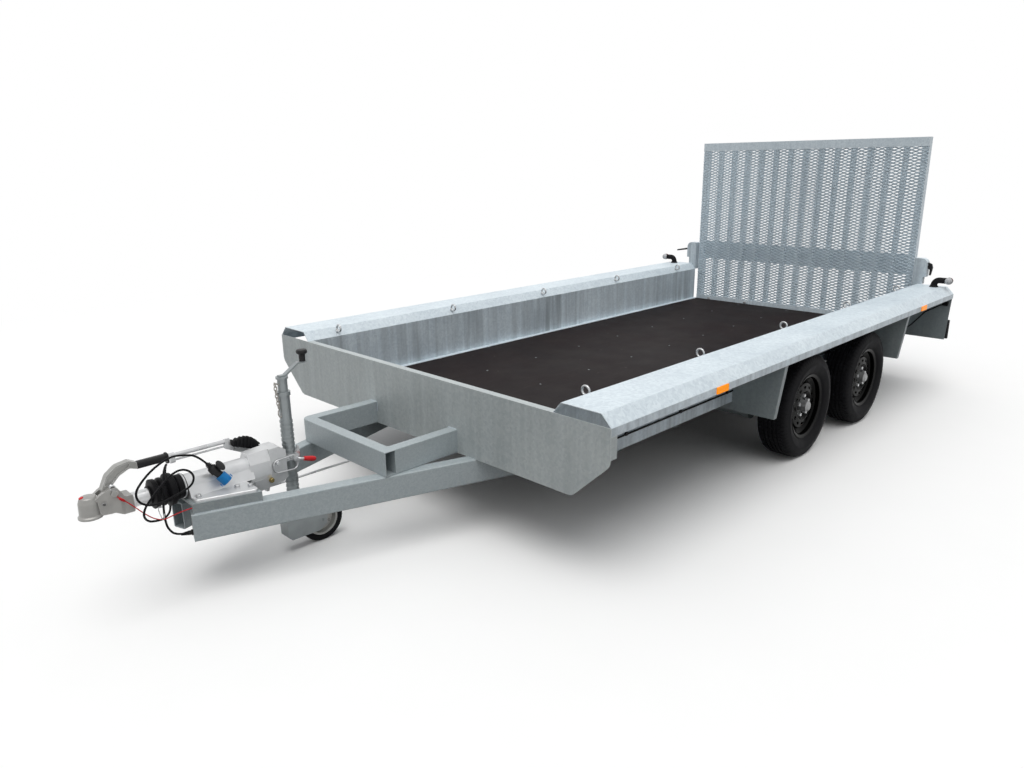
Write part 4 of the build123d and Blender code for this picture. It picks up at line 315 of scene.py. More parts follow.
class Finish(Graph):
    """The graph of a new material."""

    def __init__(self, name):
        self.material = bpy.data.materials.new(name)
        self.material.use_nodes = True
        super().__init__(self.material.node_tree)
        self.shader = self.tree.nodes["Principled BSDF"]

    def surface(self, colour, roughness, bump, others):
        """Fill the shader's inputs. The bump is a strength, a distance and a height."""
        bumped = self.add("ShaderNodeBump", dict(zip(("Strength", "Distance", "Height"), bump)))
        self.fill(self.shader, {
            "Base Color": colour, "Roughness": roughness, "Normal": bumped.outputs["Normal"], **others})
        return self.material


def scaled(colour, factor):
    """A colour made lighter or darker."""
    return [factor * part for part in colour]


def galvanised(name, settings, grain, streaks, patches, tone=1.0, rough=0.46, metal=0.08, edge=0.0025,
               stain=0.0, tint=(1.0, 1.0, 1.0)):
    """Hot-dip zinc on steel: crystals, runs, dull patches, stains on upright faces that are partly painted
    shade, and painted highlights along the edges.
    """
    g = Finish(name)
    zinc = g.group("Zinc spangle", Grain=grain, Streaks=streaks, Patches=patches)
    dark = [tone * c * t for c, t in zip(settings.zinc_dark, tint)]
    light = [tone * c * t for c, t in zip(settings.zinc_light, tint)]
    colour = g.mix(zinc["Shade"], dark, light)
    # Stains that run down upright faces: partly real stains, partly painted shade on the sides.
    if stain > 0.0:
        colour = g.mix(g.group("Run stains and side shade", Amount=stain)["Mask"], colour, scaled(dark, 0.42))
    # Painted highlight: the outer edges lightened towards a brighter zinc colour.
    if edge > 0.0:
        colour = g.paint_edge_highlight(colour, edge, 0.45, [min(1.0, c) for c in scaled(light, 1.5)])
    gloss = g.plus(zinc["Gloss"], rough - 0.15)
    return g.surface(colour, gloss, (0.10, 0.004, zinc["Height"]), {"Metallic": metal})


def plated(name, colour, rough=0.28, metal=0.9, edge=0.0):
    """Metal plating with fine smears, and painted highlights along the edges when an edge width is given."""
    g = Finish(name)
    smear = g.noise(g.place(), 22.0)
    colours = g.mix(g.remap(smear, 0.35, 0.7), scaled(colour, 0.88), colour)
    # Painted highlight along the outer edges.
    if edge > 0.0:
        colours = g.paint_edge_highlight(colours, edge, 0.6, (0.92, 0.92, 0.91))
    gloss = g.remap(smear, 0.3, 0.7, rough - 0.03, rough + 0.06)
    return g.surface(colours, gloss, (0.03, 0.001, smear), {"Metallic": metal})


def cast_paint(name, colour, metal=0.45):
    """Silver paint over a smooth casting, a little dirtier in patches, with painted highlights along its
    edges.
    """
    g = Finish(name)
    place = g.place()
    stain = g.noise(place, 9.0, 4.0, 0.6)
    colours = g.mix(g.remap(stain, 0.50, 0.72), colour, scaled(colour, 0.84))
    dust = g.group("Road dust", Amount=0.12, Scale=30.0)["Mask"]
    # Painted highlight: the outer edges lightened over the dust.
    colours = g.paint_edge_highlight(g.mix(dust, colours, scaled(colour, 0.55)), 0.0035, 0.6, (0.95, 0.95, 0.94))
    pits = g.noise(place, 420.0, 3.0, 0.6)
    gloss = g.remap(stain, 0.3, 0.7, 0.30, 0.42)
    return g.surface(colours, gloss, (0.22, 0.0005, pits), {"Metallic": metal})


def deck_film(name, colour):
    """Phenolic film on plywood: fine pressed grain, scuffs and a few pale specks."""
    g = Finish(name)
    place = g.place()
    cloudy = g.noise(place, 1.7, 5.0, 0.6)
    scuffs = g.remap(g.noise(g.stretched(place, (3.0, 55.0, 1.0)), 1.0, 5.0, 0.65), 0.60, 0.78)
    specks = g.remap(g.cells(place, 7.5)["Distance"], 0.0, 0.05, 1.0, 0.0)
    film = g.mix(g.remap(cloudy, 0.35, 0.7), colour, scaled(colour, 1.5))
    film = g.mix(g.times(scuffs, 0.16), film, (0.09, 0.078, 0.072))
    film = g.mix(g.times(specks, 0.40), film, (0.26, 0.24, 0.22))
    film = g.mix(g.group("Road dust", Amount=0.05, Scale=5.0)["Mask"], film, (0.16, 0.14, 0.12))
    gloss = g.remap(cloudy, 0.3, 0.7, 0.42, 0.60)
    return g.surface(film, gloss, (0.25, 0.0006, g.cells(place, 210.0)["Distance"]), {SPECULAR: 0.03})


def rubber(name, colour, dust, rough):
    """Black rubber, greyed by dust."""
    g = Finish(name)
    place = g.place()
    soot = g.noise(place, 18.0, 4.0, 0.6)
    colours = g.mix(g.remap(soot, 0.35, 0.7), colour, scaled(colour, 1.9))
    colours = g.mix(g.group("Road dust", Amount=dust, Scale=22.0)["Mask"], colours, (0.050, 0.047, 0.043))
    gloss = g.remap(soot, 0.3, 0.7, rough - 0.08, rough + 0.10)
    return g.surface(colours, gloss, (0.2, 0.0005, g.noise(place, 300.0, 3.0, 0.6)), {SPECULAR: 0.10})


def gloss_paint(name, colour):
    """Smooth paint with dust in it and a thin clear top."""
    g = Finish(name)
    dust = g.group("Road dust", Amount=0.05, Scale=26.0)["Mask"]
    colours = g.mix(dust, colour, (0.060, 0.057, 0.054))
    orange_peel = g.noise(g.place(), 160.0, 2.0)
    return g.surface(colours, g.remap(dust, 0.0, 0.3, 0.20, 0.55), (0.05, 0.0006, orange_peel),
                     {"Coat Weight": 0.02, SPECULAR: 0.07})


def moulded(name, colour, rough=0.42):
    """Moulded plastic with a fine even grain and light scuffing."""
    g = Finish(name)
    place = g.place()
    scuff = g.noise(place, 60.0, 5.0, 0.65)
    colours = g.mix(g.remap(scuff, 0.55, 0.75, 0.0, 0.35), colour, [0.8 * c + 0.02 for c in colour])
    gloss = g.remap(scuff, 0.3, 0.7, rough - 0.06, rough + 0.12)
    return g.surface(colours, gloss, (0.12, 0.0004, g.noise(place, 520.0, 2.0)), {SPECULAR: 0.30})


def lamp_lens(name, colour, painted_glow=0.0):
    """Coloured plastic with a fine pattern of prisms, and painted light as emission when a strength is
    given.
    """
    g = Finish(name)
    prisms = g.cells(g.place(), 260.0, distance="CHEBYCHEV")["Distance"]
    colours = g.mix(g.remap(prisms, 0.1, 0.6), colour, scaled(colour, 0.55))
    return g.surface(colours, 0.16, (0.3, 0.0006, prisms), {
        SPECULAR: 0.06, "Emission Color": (*colour, 1.0), "Emission Strength": painted_glow})


MATERIALS = {}
FINISHES = {
    "sheet": lambda s: galvanised("galvanised sheet", s, 80.0, 0.30, 0.44, stain=0.75),
    # Headboard: the sheet zinc made darker as painted shade and warmer as a painted reflection of the
    # ground.
    "head": lambda s: galvanised("headboard sheet with painted shade and reflection", s, 90.0, 0.10, 0.30, 0.68, stain=0.34,
                                 tint=(1.03, 1.0, 0.94)),
    "beam": lambda s: galvanised("galvanised tube", s, 150.0, 0.06, 0.16, 0.60, tint=(1.0, 1.0, 0.97)),
    # Ramp frame: the zinc made a little lighter as painted light, for the strong light on the ramp and
    # against the mesh's shade on its ribs.
    "ramp": lambda s: galvanised("galvanised ramp with painted light", s, 110.0, 0.35, 0.20, 1.04),
    "dull": lambda s: galvanised("dull galvanised", s, 110.0, 0.12, 0.26, 0.44, 0.55, stain=0.25,
                                 tint=(1.0, 1.0, 0.96)),
    "mesh": lambda s: galvanised("galvanised mesh", s, 160.0, 0.0, 0.20, 1.04, 0.40, 0.20, 0.0),
    "weld": lambda s: galvanised("weld bead", s, 200.0, 0.0, 0.2, 0.74, 0.42, 0.2, 0.0),
    "bright": lambda s: plated("bright plating", (0.60, 0.61, 0.62), 0.28, 0.7),
    "plate": lambda s: plated("blue-grey plating", (0.33, 0.36, 0.37), 0.34, 0.45),
    "alloy": lambda s: plated("pressed steel", (0.38, 0.38, 0.365), 0.30, 0.5, 0.003),
    "shaft": lambda s: plated("ground steel", (0.78, 0.79, 0.80), 0.32, 0.6),
    "brass": lambda s: plated("yellow plating", (0.42, 0.33, 0.14), 0.32),
    "chain": lambda s: plated("chain steel", (0.40, 0.38, 0.35), 0.36, 0.6),
    "forging": lambda s: cast_paint("grey forging", (0.37, 0.365, 0.35)),
    "casting": lambda s: cast_paint("silver casting", s.casting),
    "iron": lambda s: cast_paint("grey iron", (0.34, 0.345, 0.35)),
    "recess": lambda s: cast_paint("dark bolt", (0.10, 0.10, 0.10), 0.6),
    "deck": lambda s: deck_film("deck film", s.deck),
    "tyre": lambda s: rubber("tyre rubber", s.rubber, 0.09, 0.66),
    "rubber": lambda s: rubber("black rubber", s.rubber, 0.10, 0.5),
    "sheath": lambda s: rubber("cable sheath", s.rubber, 0.04, 0.42),
    "wheel": lambda s: gloss_paint("wheel paint", s.wheel),
    "black": lambda s: moulded("black plastic", (0.006, 0.006, 0.007)),
    "blue": lambda s: moulded("blue plastic", s.plug_blue, 0.3),
    "red": lambda s: moulded("red plastic", s.lever_red, 0.34),
    "lens": lambda s: lamp_lens("red lens", (0.45, 0.010, 0.012)),
    "clear": lambda s: lamp_lens("white lens", (0.75, 0.76, 0.78)),
    # These reflectors give off light though they are no lamps: painted light.
    "amber": lambda s: lamp_lens("amber reflector", s.reflector_amber, 0.62),
}

# The solids that have each finish, by how their names start
FINISHED_NODES = {
    "sheet": ("side_wall", "deck_edging", "latch_posts"),
    "head": ("headboard",),
    "beam": ("drawbar", "bucket_rest"),
    "ramp": ("ramp_frame",),
    "dull": ("crossmembers", "chassis_beams", "splash_plates", "rear_panel", "axle", "coupling_mount"),
    "mesh": ("ramp_mesh",),
    "bright": ("tie_rings", "parking_brake_lever", "brake_rod", "jockey_clamp"),
    "plate": ("jockey_tube", "jockey_crank", "jockey_leg", "jockey_fork"),
    "alloy": ("coupling_lever", "jockey_rim"),
    "shaft": ("draw_shaft",),
    "forging": ("coupling_head",),
    "casting": ("overrun_housing",),
    "iron": ("hub",),
    "deck": ("deck_panel",),
    "tyre": ("tyre", "jockey_tyre"),
    "rubber": ("marker_stalks", "bellows", "parking_brake_boot"),
    "sheath": ("trailer_cable", "lamp_leads"),
    "wheel": ("rim",),
    "black": ("latch_levers", "coupling_grip", "cable_gland", "plug_body"),
    "blue": ("plug_collar",),
    "red": ("breakaway_cable",),
    "lens": ("tail_lamps", "marker_lenses"),
    "amber": ("side_markers",),
}


def finish_of(name):
    """A finish by name, made on first use."""
    if name not in MATERIALS:
        MATERIALS[name] = FINISHES[name](bpy.context.scene.trailer_finish)
    return MATERIALS[name]


# ------------------------------------------------------------------ mesh helpers
def add_object(name, data):
    """A new object in the scene."""
    thing = bpy.data.objects.new(name, data)
    bpy.context.scene.collection.objects.link(thing)
    return thing


def add_piece(name, bm, finish, body="trailer", smooth=math.radians(32.0)):
    """Turn a bmesh into an object that rides on a body and has a finish."""
    mesh = bpy.data.meshes.new(name)
    bm.normal_update()
    bm.to_mesh(mesh)
    bm.free()
    mesh.shade_smooth()
    mesh.set_sharp_from_angle(angle=smooth)
    mesh.materials.append(finish_of(finish))
    piece = add_object(name, mesh)
    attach(piece, body)
    return piece


def bridge(bm, first, second, closed=True):
    """Quads between two rings of equal length."""
    count = len(first)
    for index in range(count if closed else count - 1):
        after = (index + 1) % count
        bm.faces.new((first[index], first[after], second[after], second[index]))


def skin(bm, rows, closed=False, foot=True):
    """Quads between rings of points. The ends are capped unless the last ring meets the first."""
    rings = [[bm.verts.new(point) for point in row] for row in rows]
    for first, second in zip(rings, rings[1:]):
        bridge(bm, first, second)
    if closed:
        bridge(bm, rings[-1], rings[0])
        return
    if foot:
        bm.faces.new(list(reversed(rings[0])))
    bm.faces.new(rings[-1])


def axes_about(axis):
    """A unit axis and two directions across it."""
    axis = Vector(axis).normalized()
    side = axis.orthogonal().normalized()
    return axis, side, axis.cross(side)


def circle(centre, side, other, radius, count):
    """Points round a circle in the plane of two directions."""
    turns = [math.tau * step / count for step in range(count)]
    return [centre + (side * math.cos(turn) + other * math.sin(turn)) * radius for turn in turns]


def mm(*points):
    """Points given in millimetres, in metres."""
    return [tuple(value / 1000.0 for value in point) for point in points]


def lathe(bm, profile, origin, axis, segments, closed=False):
    """Revolve (height, radius) points round an axis through the origin."""
    axis, side, other = axes_about(axis)
    skin(bm, [circle(origin + axis * height, side, other, radius, segments) for height, radius in profile],
         closed)


def add_hex(bm, place, axis, flats, height, washer=1.25):
    """Chamfered hexagon on a washer, whose width is a multiple of the flats."""
    thick = 0.0016
    lathe(bm, [(0.0, 0.5 * flats * washer), (thick, 0.5 * flats * washer)], place, axis, 20)
    axis, side, other = axes_about(axis)
    levels = ((thick, 1.0), (thick + 0.85 * height, 1.0), (thick + height, 0.88))
    skin(bm, [circle(place + axis * level, side, other, scale * flats / math.sqrt(3.0), 6)
              for level, scale in levels], foot=False)


def add_tube(bm, points, radius, segments, closed=False):
    """Round bar along points, with its rings carried along the line."""
    last = len(points) - 1
    rows = []
    for index, point in enumerate(points):
        before = points[index - 1] if index > 0 or closed else point
        after = points[(index + 1) % len(points)] if index < last or closed else point
        tangent = (after - before).normalized()
        if index == 0:
            side = tangent.orthogonal()
        side = (side - tangent * side.dot(tangent)).normalized()
        rows.append(circle(point, side, tangent.cross(side), radius, segments))
    skin(bm, rows, closed)


def add_block(bm, low, high, bevel):
    """A box between two corners with rounded edges."""
    made = bmesh.ops.create_cube(bm, size=1.0)["verts"]
    bmesh.ops.scale(bm, vec=high - low, verts=made)
    bmesh.ops.translate(bm, vec=(low + high) / 2.0, verts=made)
    edges = {edge for vert in made for edge in vert.link_edges}
    bmesh.ops.bevel(bm, geom=list(edges), offset=bevel, segments=2, affect="EDGES", profile=0.5)


def add_turned(name, finish, profile, origin, axis, segments, closed=False):
    """One lathed piece on the trailer's body."""
    bm = bmesh.new()
    lathe(bm, profile, origin, axis, segments, closed)
    return add_piece(name, bm, finish)


def add_bolts(name, finish, places, axis, flats, height, body="trailer"):
    """Bolts at places on the left, and their mirror images on the right."""
    bm = bmesh.new()
    for sign in SIGNS:
        for x, y, z in places:
            add_hex(bm, Vector((x, sign * y, z)), (axis[0], sign * axis[1], axis[2]), flats, height)
    return add_piece(name, bm, finish, body)


# ------------------------------------------------------------------ operators
WHITE = (1.0, 1.0, 1.0, 1.0)


def add_lights(scene, stage):
    """Sky that brightens with height and is white to the camera, and one wide lamp from above."""
    scene.world = bpy.data.worlds.new("studio")
    scene.world.use_nodes = True
    g = Graph(scene.world.node_tree)
    g.tree.nodes.clear()
    height = g.upward(g.add("ShaderNodeTexCoord").outputs["Generated"])
    tint = g.mix(g.remap(height, -0.1, 0.9), (0.96, 0.955, 0.95), (0.955, 0.965, 0.975))
    strength = g.remap(height, 0.0, 0.8, 0.32 * stage.sky, 1.36 * stage.sky)
    sky = g.add("ShaderNodeBackground", {"Color": tint, "Strength": strength}).outputs[0]
    white = g.add("ShaderNodeBackground", {"Color": WHITE, "Strength": 1.0}).outputs[0]
    chosen = g.add("ShaderNodeMixShader", {0: g.seen_rays(), 1: sky, 2: white}).outputs[0]
    g.add("ShaderNodeOutputWorld", {"Surface": chosen})
    lamp = bpy.data.lights.new("key", "SUN")
    lamp.energy = stage.key
    lamp.angle = math.radians(50.0)
    lamp.color = (1.0, 0.99, 0.97)
    toward_lamp = Vector((0.24, 0.22, 1.0))
    add_object("key", lamp).rotation_euler = toward_lamp.to_track_quat("Z", "Y").to_euler()


def add_floor():
    """Wide pale floor that fades into the white background and keeps the shadow."""
    bm = bmesh.new()
    bmesh.ops.create_circle(bm, cap_ends=True, radius=400.0, segments=96)
    mesh = bpy.data.meshes.new("floor")
    bm.to_mesh(mesh)
    bm.free()
    g = Finish("floor")
    place = g.place()
    seen = g.seen_rays()
    pale = g.mix(g.noise(place, 4.0, 4.0), (0.95, 0.95, 0.95), (0.97, 0.97, 0.97))
    colour = g.mix(seen, (0.20, 0.20, 0.20), pale)
    g.fill(g.shader, {"Base Color": colour, "Roughness": 1.0, SPECULAR: 0.0})
    distance = g.add("ShaderNodeVectorMath", {0: place}, operation="LENGTH").outputs["Value"]
    fade_from, fade_to = 3.2, 7.0
    fade = g.times(g.remap(distance, fade_from, fade_to), seen)
    white = g.add("ShaderNodeEmission", {"Color": WHITE, "Strength": 1.0}).outputs[0]
    faded = g.add("ShaderNodeMixShader", {0: fade, 1: g.shader.outputs[0], 2: white}).outputs[0]
    g.fill(g.tree.nodes["Material Output"], {"Surface": faded})
    mesh.materials.append(g.material)
    add_object("floor", mesh)


class TRAILER_OT_stage(bpy.types.Operator):
    """Set the camera, the lights and the pale floor"""

    bl_idname = "trailer.stage"
    bl_label = "Stage"

    def execute(self, context):
        stage = context.scene.trailer_stage
        view = Vector((
            math.cos(stage.yaw) * math.cos(stage.pitch), math.sin(stage.yaw) * math.cos(stage.pitch),
            -math.sin(stage.pitch),
        ))
        right = view.cross(UP).normalized()
        above = right.cross(view)
        cos, sin = math.cos(stage.roll), math.sin(stage.roll)
        turn = Matrix((right * cos + above * sin, above * cos - right * sin, -view)).transposed()
        lens = bpy.data.cameras.new("camera")
        lens.sensor_width = 36.0
        lens.lens = stage.lens
        camera = add_object("camera", lens)
        camera.matrix_world = Matrix.Translation(Vector(stage.camera_place)) @ turn.to_4x4()
        context.scene.camera = camera
        context.scene.view_settings.view_transform = "Standard"
        add_lights(context.scene, stage)
        add_floor()
        return {"FINISHED"}


class TRAILER_OT_finishes(bpy.types.Operator):
    """Give every solid of the trailer its finish"""

    bl_idname = "trailer.finishes"
    bl_label = "Finishes"

    def execute(self, context):
        for name, node in NODES.items():
            finish = next(finish for finish, starts in FINISHED_NODES.items() if name.startswith(starts))
            material = finish_of(finish)
            if not node.material_slots:
                node.data.materials.append(material)
            for slot in node.material_slots:
                slot.material = material
        return {"FINISHED"}


HEAD_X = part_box("headboard")[1].x
GLAND_WAY = Vector((math.cos(math.radians(18.0)), -math.sin(math.radians(18.0)), 0.0))
GLAND_END = Vector((HEAD_X + 1.10395, 0.06156, 0.262))
PLUG_TAIL = Vector((HEAD_X + 1.000, 0.052, 0.508))
PLUG_NOSE = Vector((HEAD_X + 0.943, 0.088, 0.428))

# Control points of the cables' routes: ahead of the headboard, across, and height, in millimetres
CABLE_BENDS = mm(
    (1172, 52, 300), (1182, 66, 348), (1184, 76, 396), (1182, 82, 442), (1174, 82, 488), (1162, 64, 526),
    (1140, 28, 534.5), (1120, -16, 523), (1114, -54, 498), (1112, -72, 460), (1112, -72, 414),
    (1116, -58, 372), (1126, -22, 346), (1150, 18, 340), (1182, 50, 342), (1214, 82, 358), (1248, 94, 370),
    (1263, 97, 400), (1247, 94, 432), (1214, 94, 464), (1180, 93, 496), (1146, 88, 518), (1110, 84, 527),
    (1079, 87, 514), (1066, 93, 487), (1082, 99, 460), (1118, 103, 448), (1160, 107, 440), (1204, 110, 432),
    (1244, 110, 436), (1274, 105, 458), (1277, 98, 492), (1250, 89, 520), (1212, 78, 546), (1168, 62, 562),
    (1122, 47, 570), (1074, 38, 560),
)
BREAKAWAY_BENDS = mm(
    (1088, 87.77, 367), (1118, 87.77, 367), (1158, 85, 361), (1191, 79, 352), (1219, 71, 364),
    (1244, 62, 388), (1268, 57, 418), (1292, 53, 447), (1316, 49, 470), (1316, 33, 470),
)


def bends(places):
    """Control points of a route in the trailer's frame."""
    return [Vector((HEAD_X + x, y, z)) for x, y, z in places]


def add_cord(name, points, diameter, finish):
    """A round cable on one smooth spline between the given control points."""
    curve = bpy.data.curves.new(name, "CURVE")
    curve.dimensions = "3D"
    curve.bevel_depth = diameter / 2.0
    curve.bevel_resolution = 5
    curve.resolution_u = 10
    curve.use_fill_caps = True
    spline = curve.splines.new("NURBS")
    spline.points.add(len(points) - 1)
    for control, point in zip(spline.points, points):
        control.co = (*point, 1.0)
    spline.order_u = 3
    spline.use_endpoint_u = True
    curve.materials.append(finish_of(finish))
    cord = add_object(name, curve)
    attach(cord, "trailer")
    return cord


def add_plug_parts():
    """Spring flap on the plug's neck with its hinge, the collar's ribs, and the tail's rings."""
    axis = (PLUG_NOSE - PLUG_TAIL).normalized()
    across = axis.cross(UP).normalized()
    up = across.cross(axis).normalized()
    neck = PLUG_TAIL + axis * 0.046
    hinge = neck + up * 0.021
    flap = neck + up * 0.0285 - axis * 0.006
    bm = bmesh.new()
    lathe(bm, mm((-3, 15), (-2.5, 20.5), (0, 22.2), (2.2, 21.6), (3.6, 17), (4, 8)), flap,
          up * 0.985 + across * 0.17, 40)
    add_tube(bm, [hinge - across * 0.012, hinge, hinge + across * 0.012], 0.0042, 14)
    add_tube(bm, [hinge - up * 0.004, (hinge + flap) / 2.0, flap], 0.0058, 12)
    lathe(bm, mm(
        (20, 12), (20.5, 15.8), (24, 17.6), (32, 18.4), (44, 19.2), (46.5, 19.2), (47, 15),
    ), PLUG_TAIL, axis, 40)
    cover = add_piece("plug_flap", bm, "black")
    bm = bmesh.new()
    for start in circle(PLUG_NOSE - axis * 0.014, across, up, 0.0262, 12):
        add_tube(bm, [start, start + axis * 0.006, start + axis * 0.012], 0.0011, 8)
    ribs = add_piece("plug_collar_ribs", bm, "blue")
    bm = bmesh.new()
    for step in range(4):
        radius = 0.0105 + 0.0012 * step
        ring = [(0.0, radius - 0.002), (0.0006, radius), (0.0030, radius), (0.0036, radius - 0.002)]
        lathe(bm, ring, PLUG_TAIL + axis * (0.004 + 0.006 * step), axis, 32)
    return [cover, ribs, add_piece("plug_tail_ribs", bm, "black")]


def add_breakaway_parts(route):
    """Crimped sleeve at the coupling's eye, and the snap hook that the cable runs through."""
    end = route[-2]
    sleeve = add_turned("breakaway_sleeve", "red", mm((0, 2.5), (2, 4.6), (16, 4.8), (20, 4), (23, 2.2)),
                        end, route[-3] - end, 20)
    low = route[3] + UP * 0.004
    flank = mm((4, -1, 4), (7.5, -6, 20), (8.5, -11, 34), (7, -15, 42))
    loop = [(0.0, 0.0, -0.0045), *flank, *((-x, y, z) for x, y, z in reversed(flank))]
    bm = bmesh.new()
    add_tube(bm, [low + Vector(corner) for corner in loop], 0.0016, 10, closed=True)
    lathe(bm, mm((-6, 2.2), (-5, 3), (5, 3), (6, 2.2)), low + Vector((0.0, -0.015, 0.042)), AHEAD, 16)
    return [sleeve, add_piece("snap_hook", bm, "bright")]


def add_strain_relief():
    """Ribbed, tapered rubber boot and nut where the cable leaves the gland."""
    root = GLAND_END - GLAND_WAY * 0.001
    profile = [(0.0, 0.0084)]
    for step in range(5):
        start = 0.002 + 0.0046 * step
        outer = 0.0082 - 0.0006 * step
        profile += [(start, outer), (start + 0.0028, outer - 0.0002), (start + 0.0032, outer - 0.0011),
                    (start + 0.0042, outer - 0.0012)]
    profile += [(0.0265, 0.0046), (0.028, 0.0042)]
    add_turned("cable_strain_relief", "rubber", profile, root, GLAND_WAY, 32)
    bm = bmesh.new()
    add_hex(bm, root - GLAND_WAY * 0.016, GLAND_WAY, 0.020, 0.006, 1.15)
    add_piece("gland_nut", bm, "black")


class TRAILER_OT_cables(bpy.types.Operator):
    """Lay the trailer cable with its plug and the thin breakaway cable"""

    bl_idname = "trailer.cables"
    bl_label = "Cables"

    def execute(self, context):
        settings = context.scene.trailer_cables
        lead_in = GLAND_END + GLAND_WAY * 0.042
        plug_lead = PLUG_TAIL + (PLUG_TAIL - PLUG_NOSE) * 0.44
        route = [GLAND_END, lead_in, *bends(CABLE_BENDS), plug_lead, PLUG_TAIL]
        cable = add_cord("seven_core_cable", route, settings.trailer_cable, "sheath")
        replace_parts(cable, "trailer_cable")
        pieces = [NODES["plug_body"], NODES["plug_collar"], *add_plug_parts()]
        route = bends(BREAKAWAY_BENDS)
        thin = add_cord("breakaway_line", route, settings.breakaway, "red")
        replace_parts(thin, "breakaway_cable")
        add_breakaway_parts(route)
        add_strain_relief()
        return {"FINISHED"}


def weave_mesh(mesh):
    """Rows of zigzag strands that meet at their knuckles."""
    low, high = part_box("ramp_mesh")
    pitch_y = (high.y - low.y) / mesh.columns
    pitch_z = (high.z - low.z) / mesh.rows
    wide = Vector((math.sin(mesh.tilt), 0.0, math.cos(mesh.tilt))) * mesh.strand_width / 2.0
    thick = Vector((math.cos(mesh.tilt), 0.0, -math.sin(mesh.tilt))) * mesh.strand_thick / 2.0
    section = (-wide - thick, wide - thick, wide + thick, thick - wide)
    swing = (pitch_z - 0.55 * mesh.strand_width) / 2.0
    knuckle = 0.16 * pitch_y
    bm = bmesh.new()
    for row in range(mesh.rows):
        level = low.z + (row + 0.5) * pitch_z
        rings = []
        for step in range(2 * mesh.columns + 1):
            top = swing if (step + row) % 2 else -swing
            for offset in (-knuckle / 2.0, knuckle / 2.0):
                y = min(max(low.y + step * pitch_y / 2.0 + offset, low.y), high.y)
                centre = Vector(((low.x + high.x) / 2.0, y, level + top))
                rings.append([centre + corner for corner in section])
        skin(bm, rings)
    piece = add_piece("expanded_mesh", bm, "mesh", "ramp", smooth=math.radians(40.0))
    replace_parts(piece, "ramp_mesh")


class TRAILER_OT_ramp_mesh(bpy.types.Operator):
    """Weave the ramp's expanded mesh from rows of zigzag strands"""

    bl_idname = "trailer.ramp_mesh"
    bl_label = "Ramp mesh"

    def execute(self, context):
        weave_mesh(context.scene.trailer_mesh)
        return {"FINISHED"}


TREAD_BANDS = 5
SHOULDER_CUT = 0.0032
RIB_CUT = 0.0022
CROWN = 0.0018            # how much lower the tread's edges lie than its middle
GROOVE_SLOPE = 0.0012     # how far a groove's sides lean in
SLANT = 7.5               # tread pitches that the cuts lean by, for each metre from the middle
# Rings of one pitch: how far through it, and whether they lie in the cut between two blocks
PITCH_RINGS = ((0.0, False), (0.80, False), (0.835, True), (0.965, True))


def tyre_profile(half, radius, settings):
    """(across, radius) points of the side wall, the shoulder, and the grooves and ribs between."""
    wall = mm((-52, 166), (-60, 168), (-65.5, 176), (-69, 186), (-74, 190))
    wall += [(inset - half, height) for inset, height in mm(
        (9, 202), (3, 216), (0.5, 227.5), (0, 230), (0, 233), (1.5, 236), (4, 252), (7, 262))]
    shoulder = [(inset - half, radius - drop)
                for inset, drop in mm((9.5, 18), (14, 9.5), (20, 5), (29, 2.2))]
    edge = half - 0.034
    rib = (2.0 * edge - (TREAD_BANDS - 1) * settings.groove_width) / TREAD_BANDS
    tread = []
    for band in range(TREAD_BANDS):
        start = -edge + band * (rib + settings.groove_width)
        stop = start + rib
        tread += [(y, radius - CROWN * (y / edge) ** 2) for y in (start, stop)]
        if band < TREAD_BANDS - 1:
            floor = radius - settings.groove_depth
            tread += [(stop + GROOVE_SLOPE, floor), (stop + settings.groove_width - GROOVE_SLOPE, floor)]
    return wall, shoulder, tread


def add_tyre(wheel, sign, settings):
    """One tyre: rings of its outline round the hub, cut between the blocks of the tread."""
    low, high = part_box(f"tyre_{wheel}")
    hub = (low + high) / 2.0
    hub.z = sum(corner.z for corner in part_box(f"hub_{wheel}")) / 2.0
    wall, shoulder, tread = tyre_profile((high.y - low.y) / 2.0, hub.z - low.z, settings)
    side = wall + shoulder
    outline = side + tread + [(-y, r) for y, r in reversed(side)]
    blocks = range(len(wall) - 1, len(outline) - len(wall) + 1)
    ribs = range(len(side), len(side) + len(tread))
    bm = bmesh.new()
    rings = []
    for pitch in range(settings.pitches):
        for fraction, cut in PITCH_RINGS:
            ring = []
            for index, (y, r) in enumerate(outline):
                if cut and index in blocks:
                    if index not in ribs[1:-1]:
                        r -= SHOULDER_CUT
                    elif (index - ribs[0]) % 4 < 2:
                        r -= RIB_CUT
                lean = SLANT * abs(y) if index in ribs else 0.0
                turn = math.tau * (pitch + fraction + lean) / settings.pitches
                ring.append(bm.verts.new((
                    hub.x + r * math.cos(turn), hub.y + sign * y, hub.z + r * math.sin(turn))))
            rings.append(ring)
    for first, second in zip(rings, rings[1:] + rings[:1]):
        bridge(bm, first, second, closed=False)
    bridge(bm, [ring[0] for ring in rings], [ring[-1] for ring in rings])
    bmesh.ops.recalc_face_normals(bm, faces=bm.faces)
    piece = add_piece(f"road_tyre_{wheel}", bm, "tyre", f"wheel_{wheel}", smooth=math.radians(28.0))
    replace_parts(piece, f"tyre_{wheel}")


class TRAILER_OT_tyres(bpy.types.Operator):
    """Mould the road tyres with their tread and side walls"""

    bl_idname = "trailer.tyres"
    bl_label = "Tyres"

    def execute(self, context):
        settings = context.scene.trailer_tyres
        for wheel, sign in WHEELS:
            add_tyre(wheel, sign, settings)
        return {"FINISHED"}


NUT_SEAT = 0.0445         # from the hub's outer end in to the face under the nuts
FIRST_NUT = 0.3           # turn of the first nut, in radians


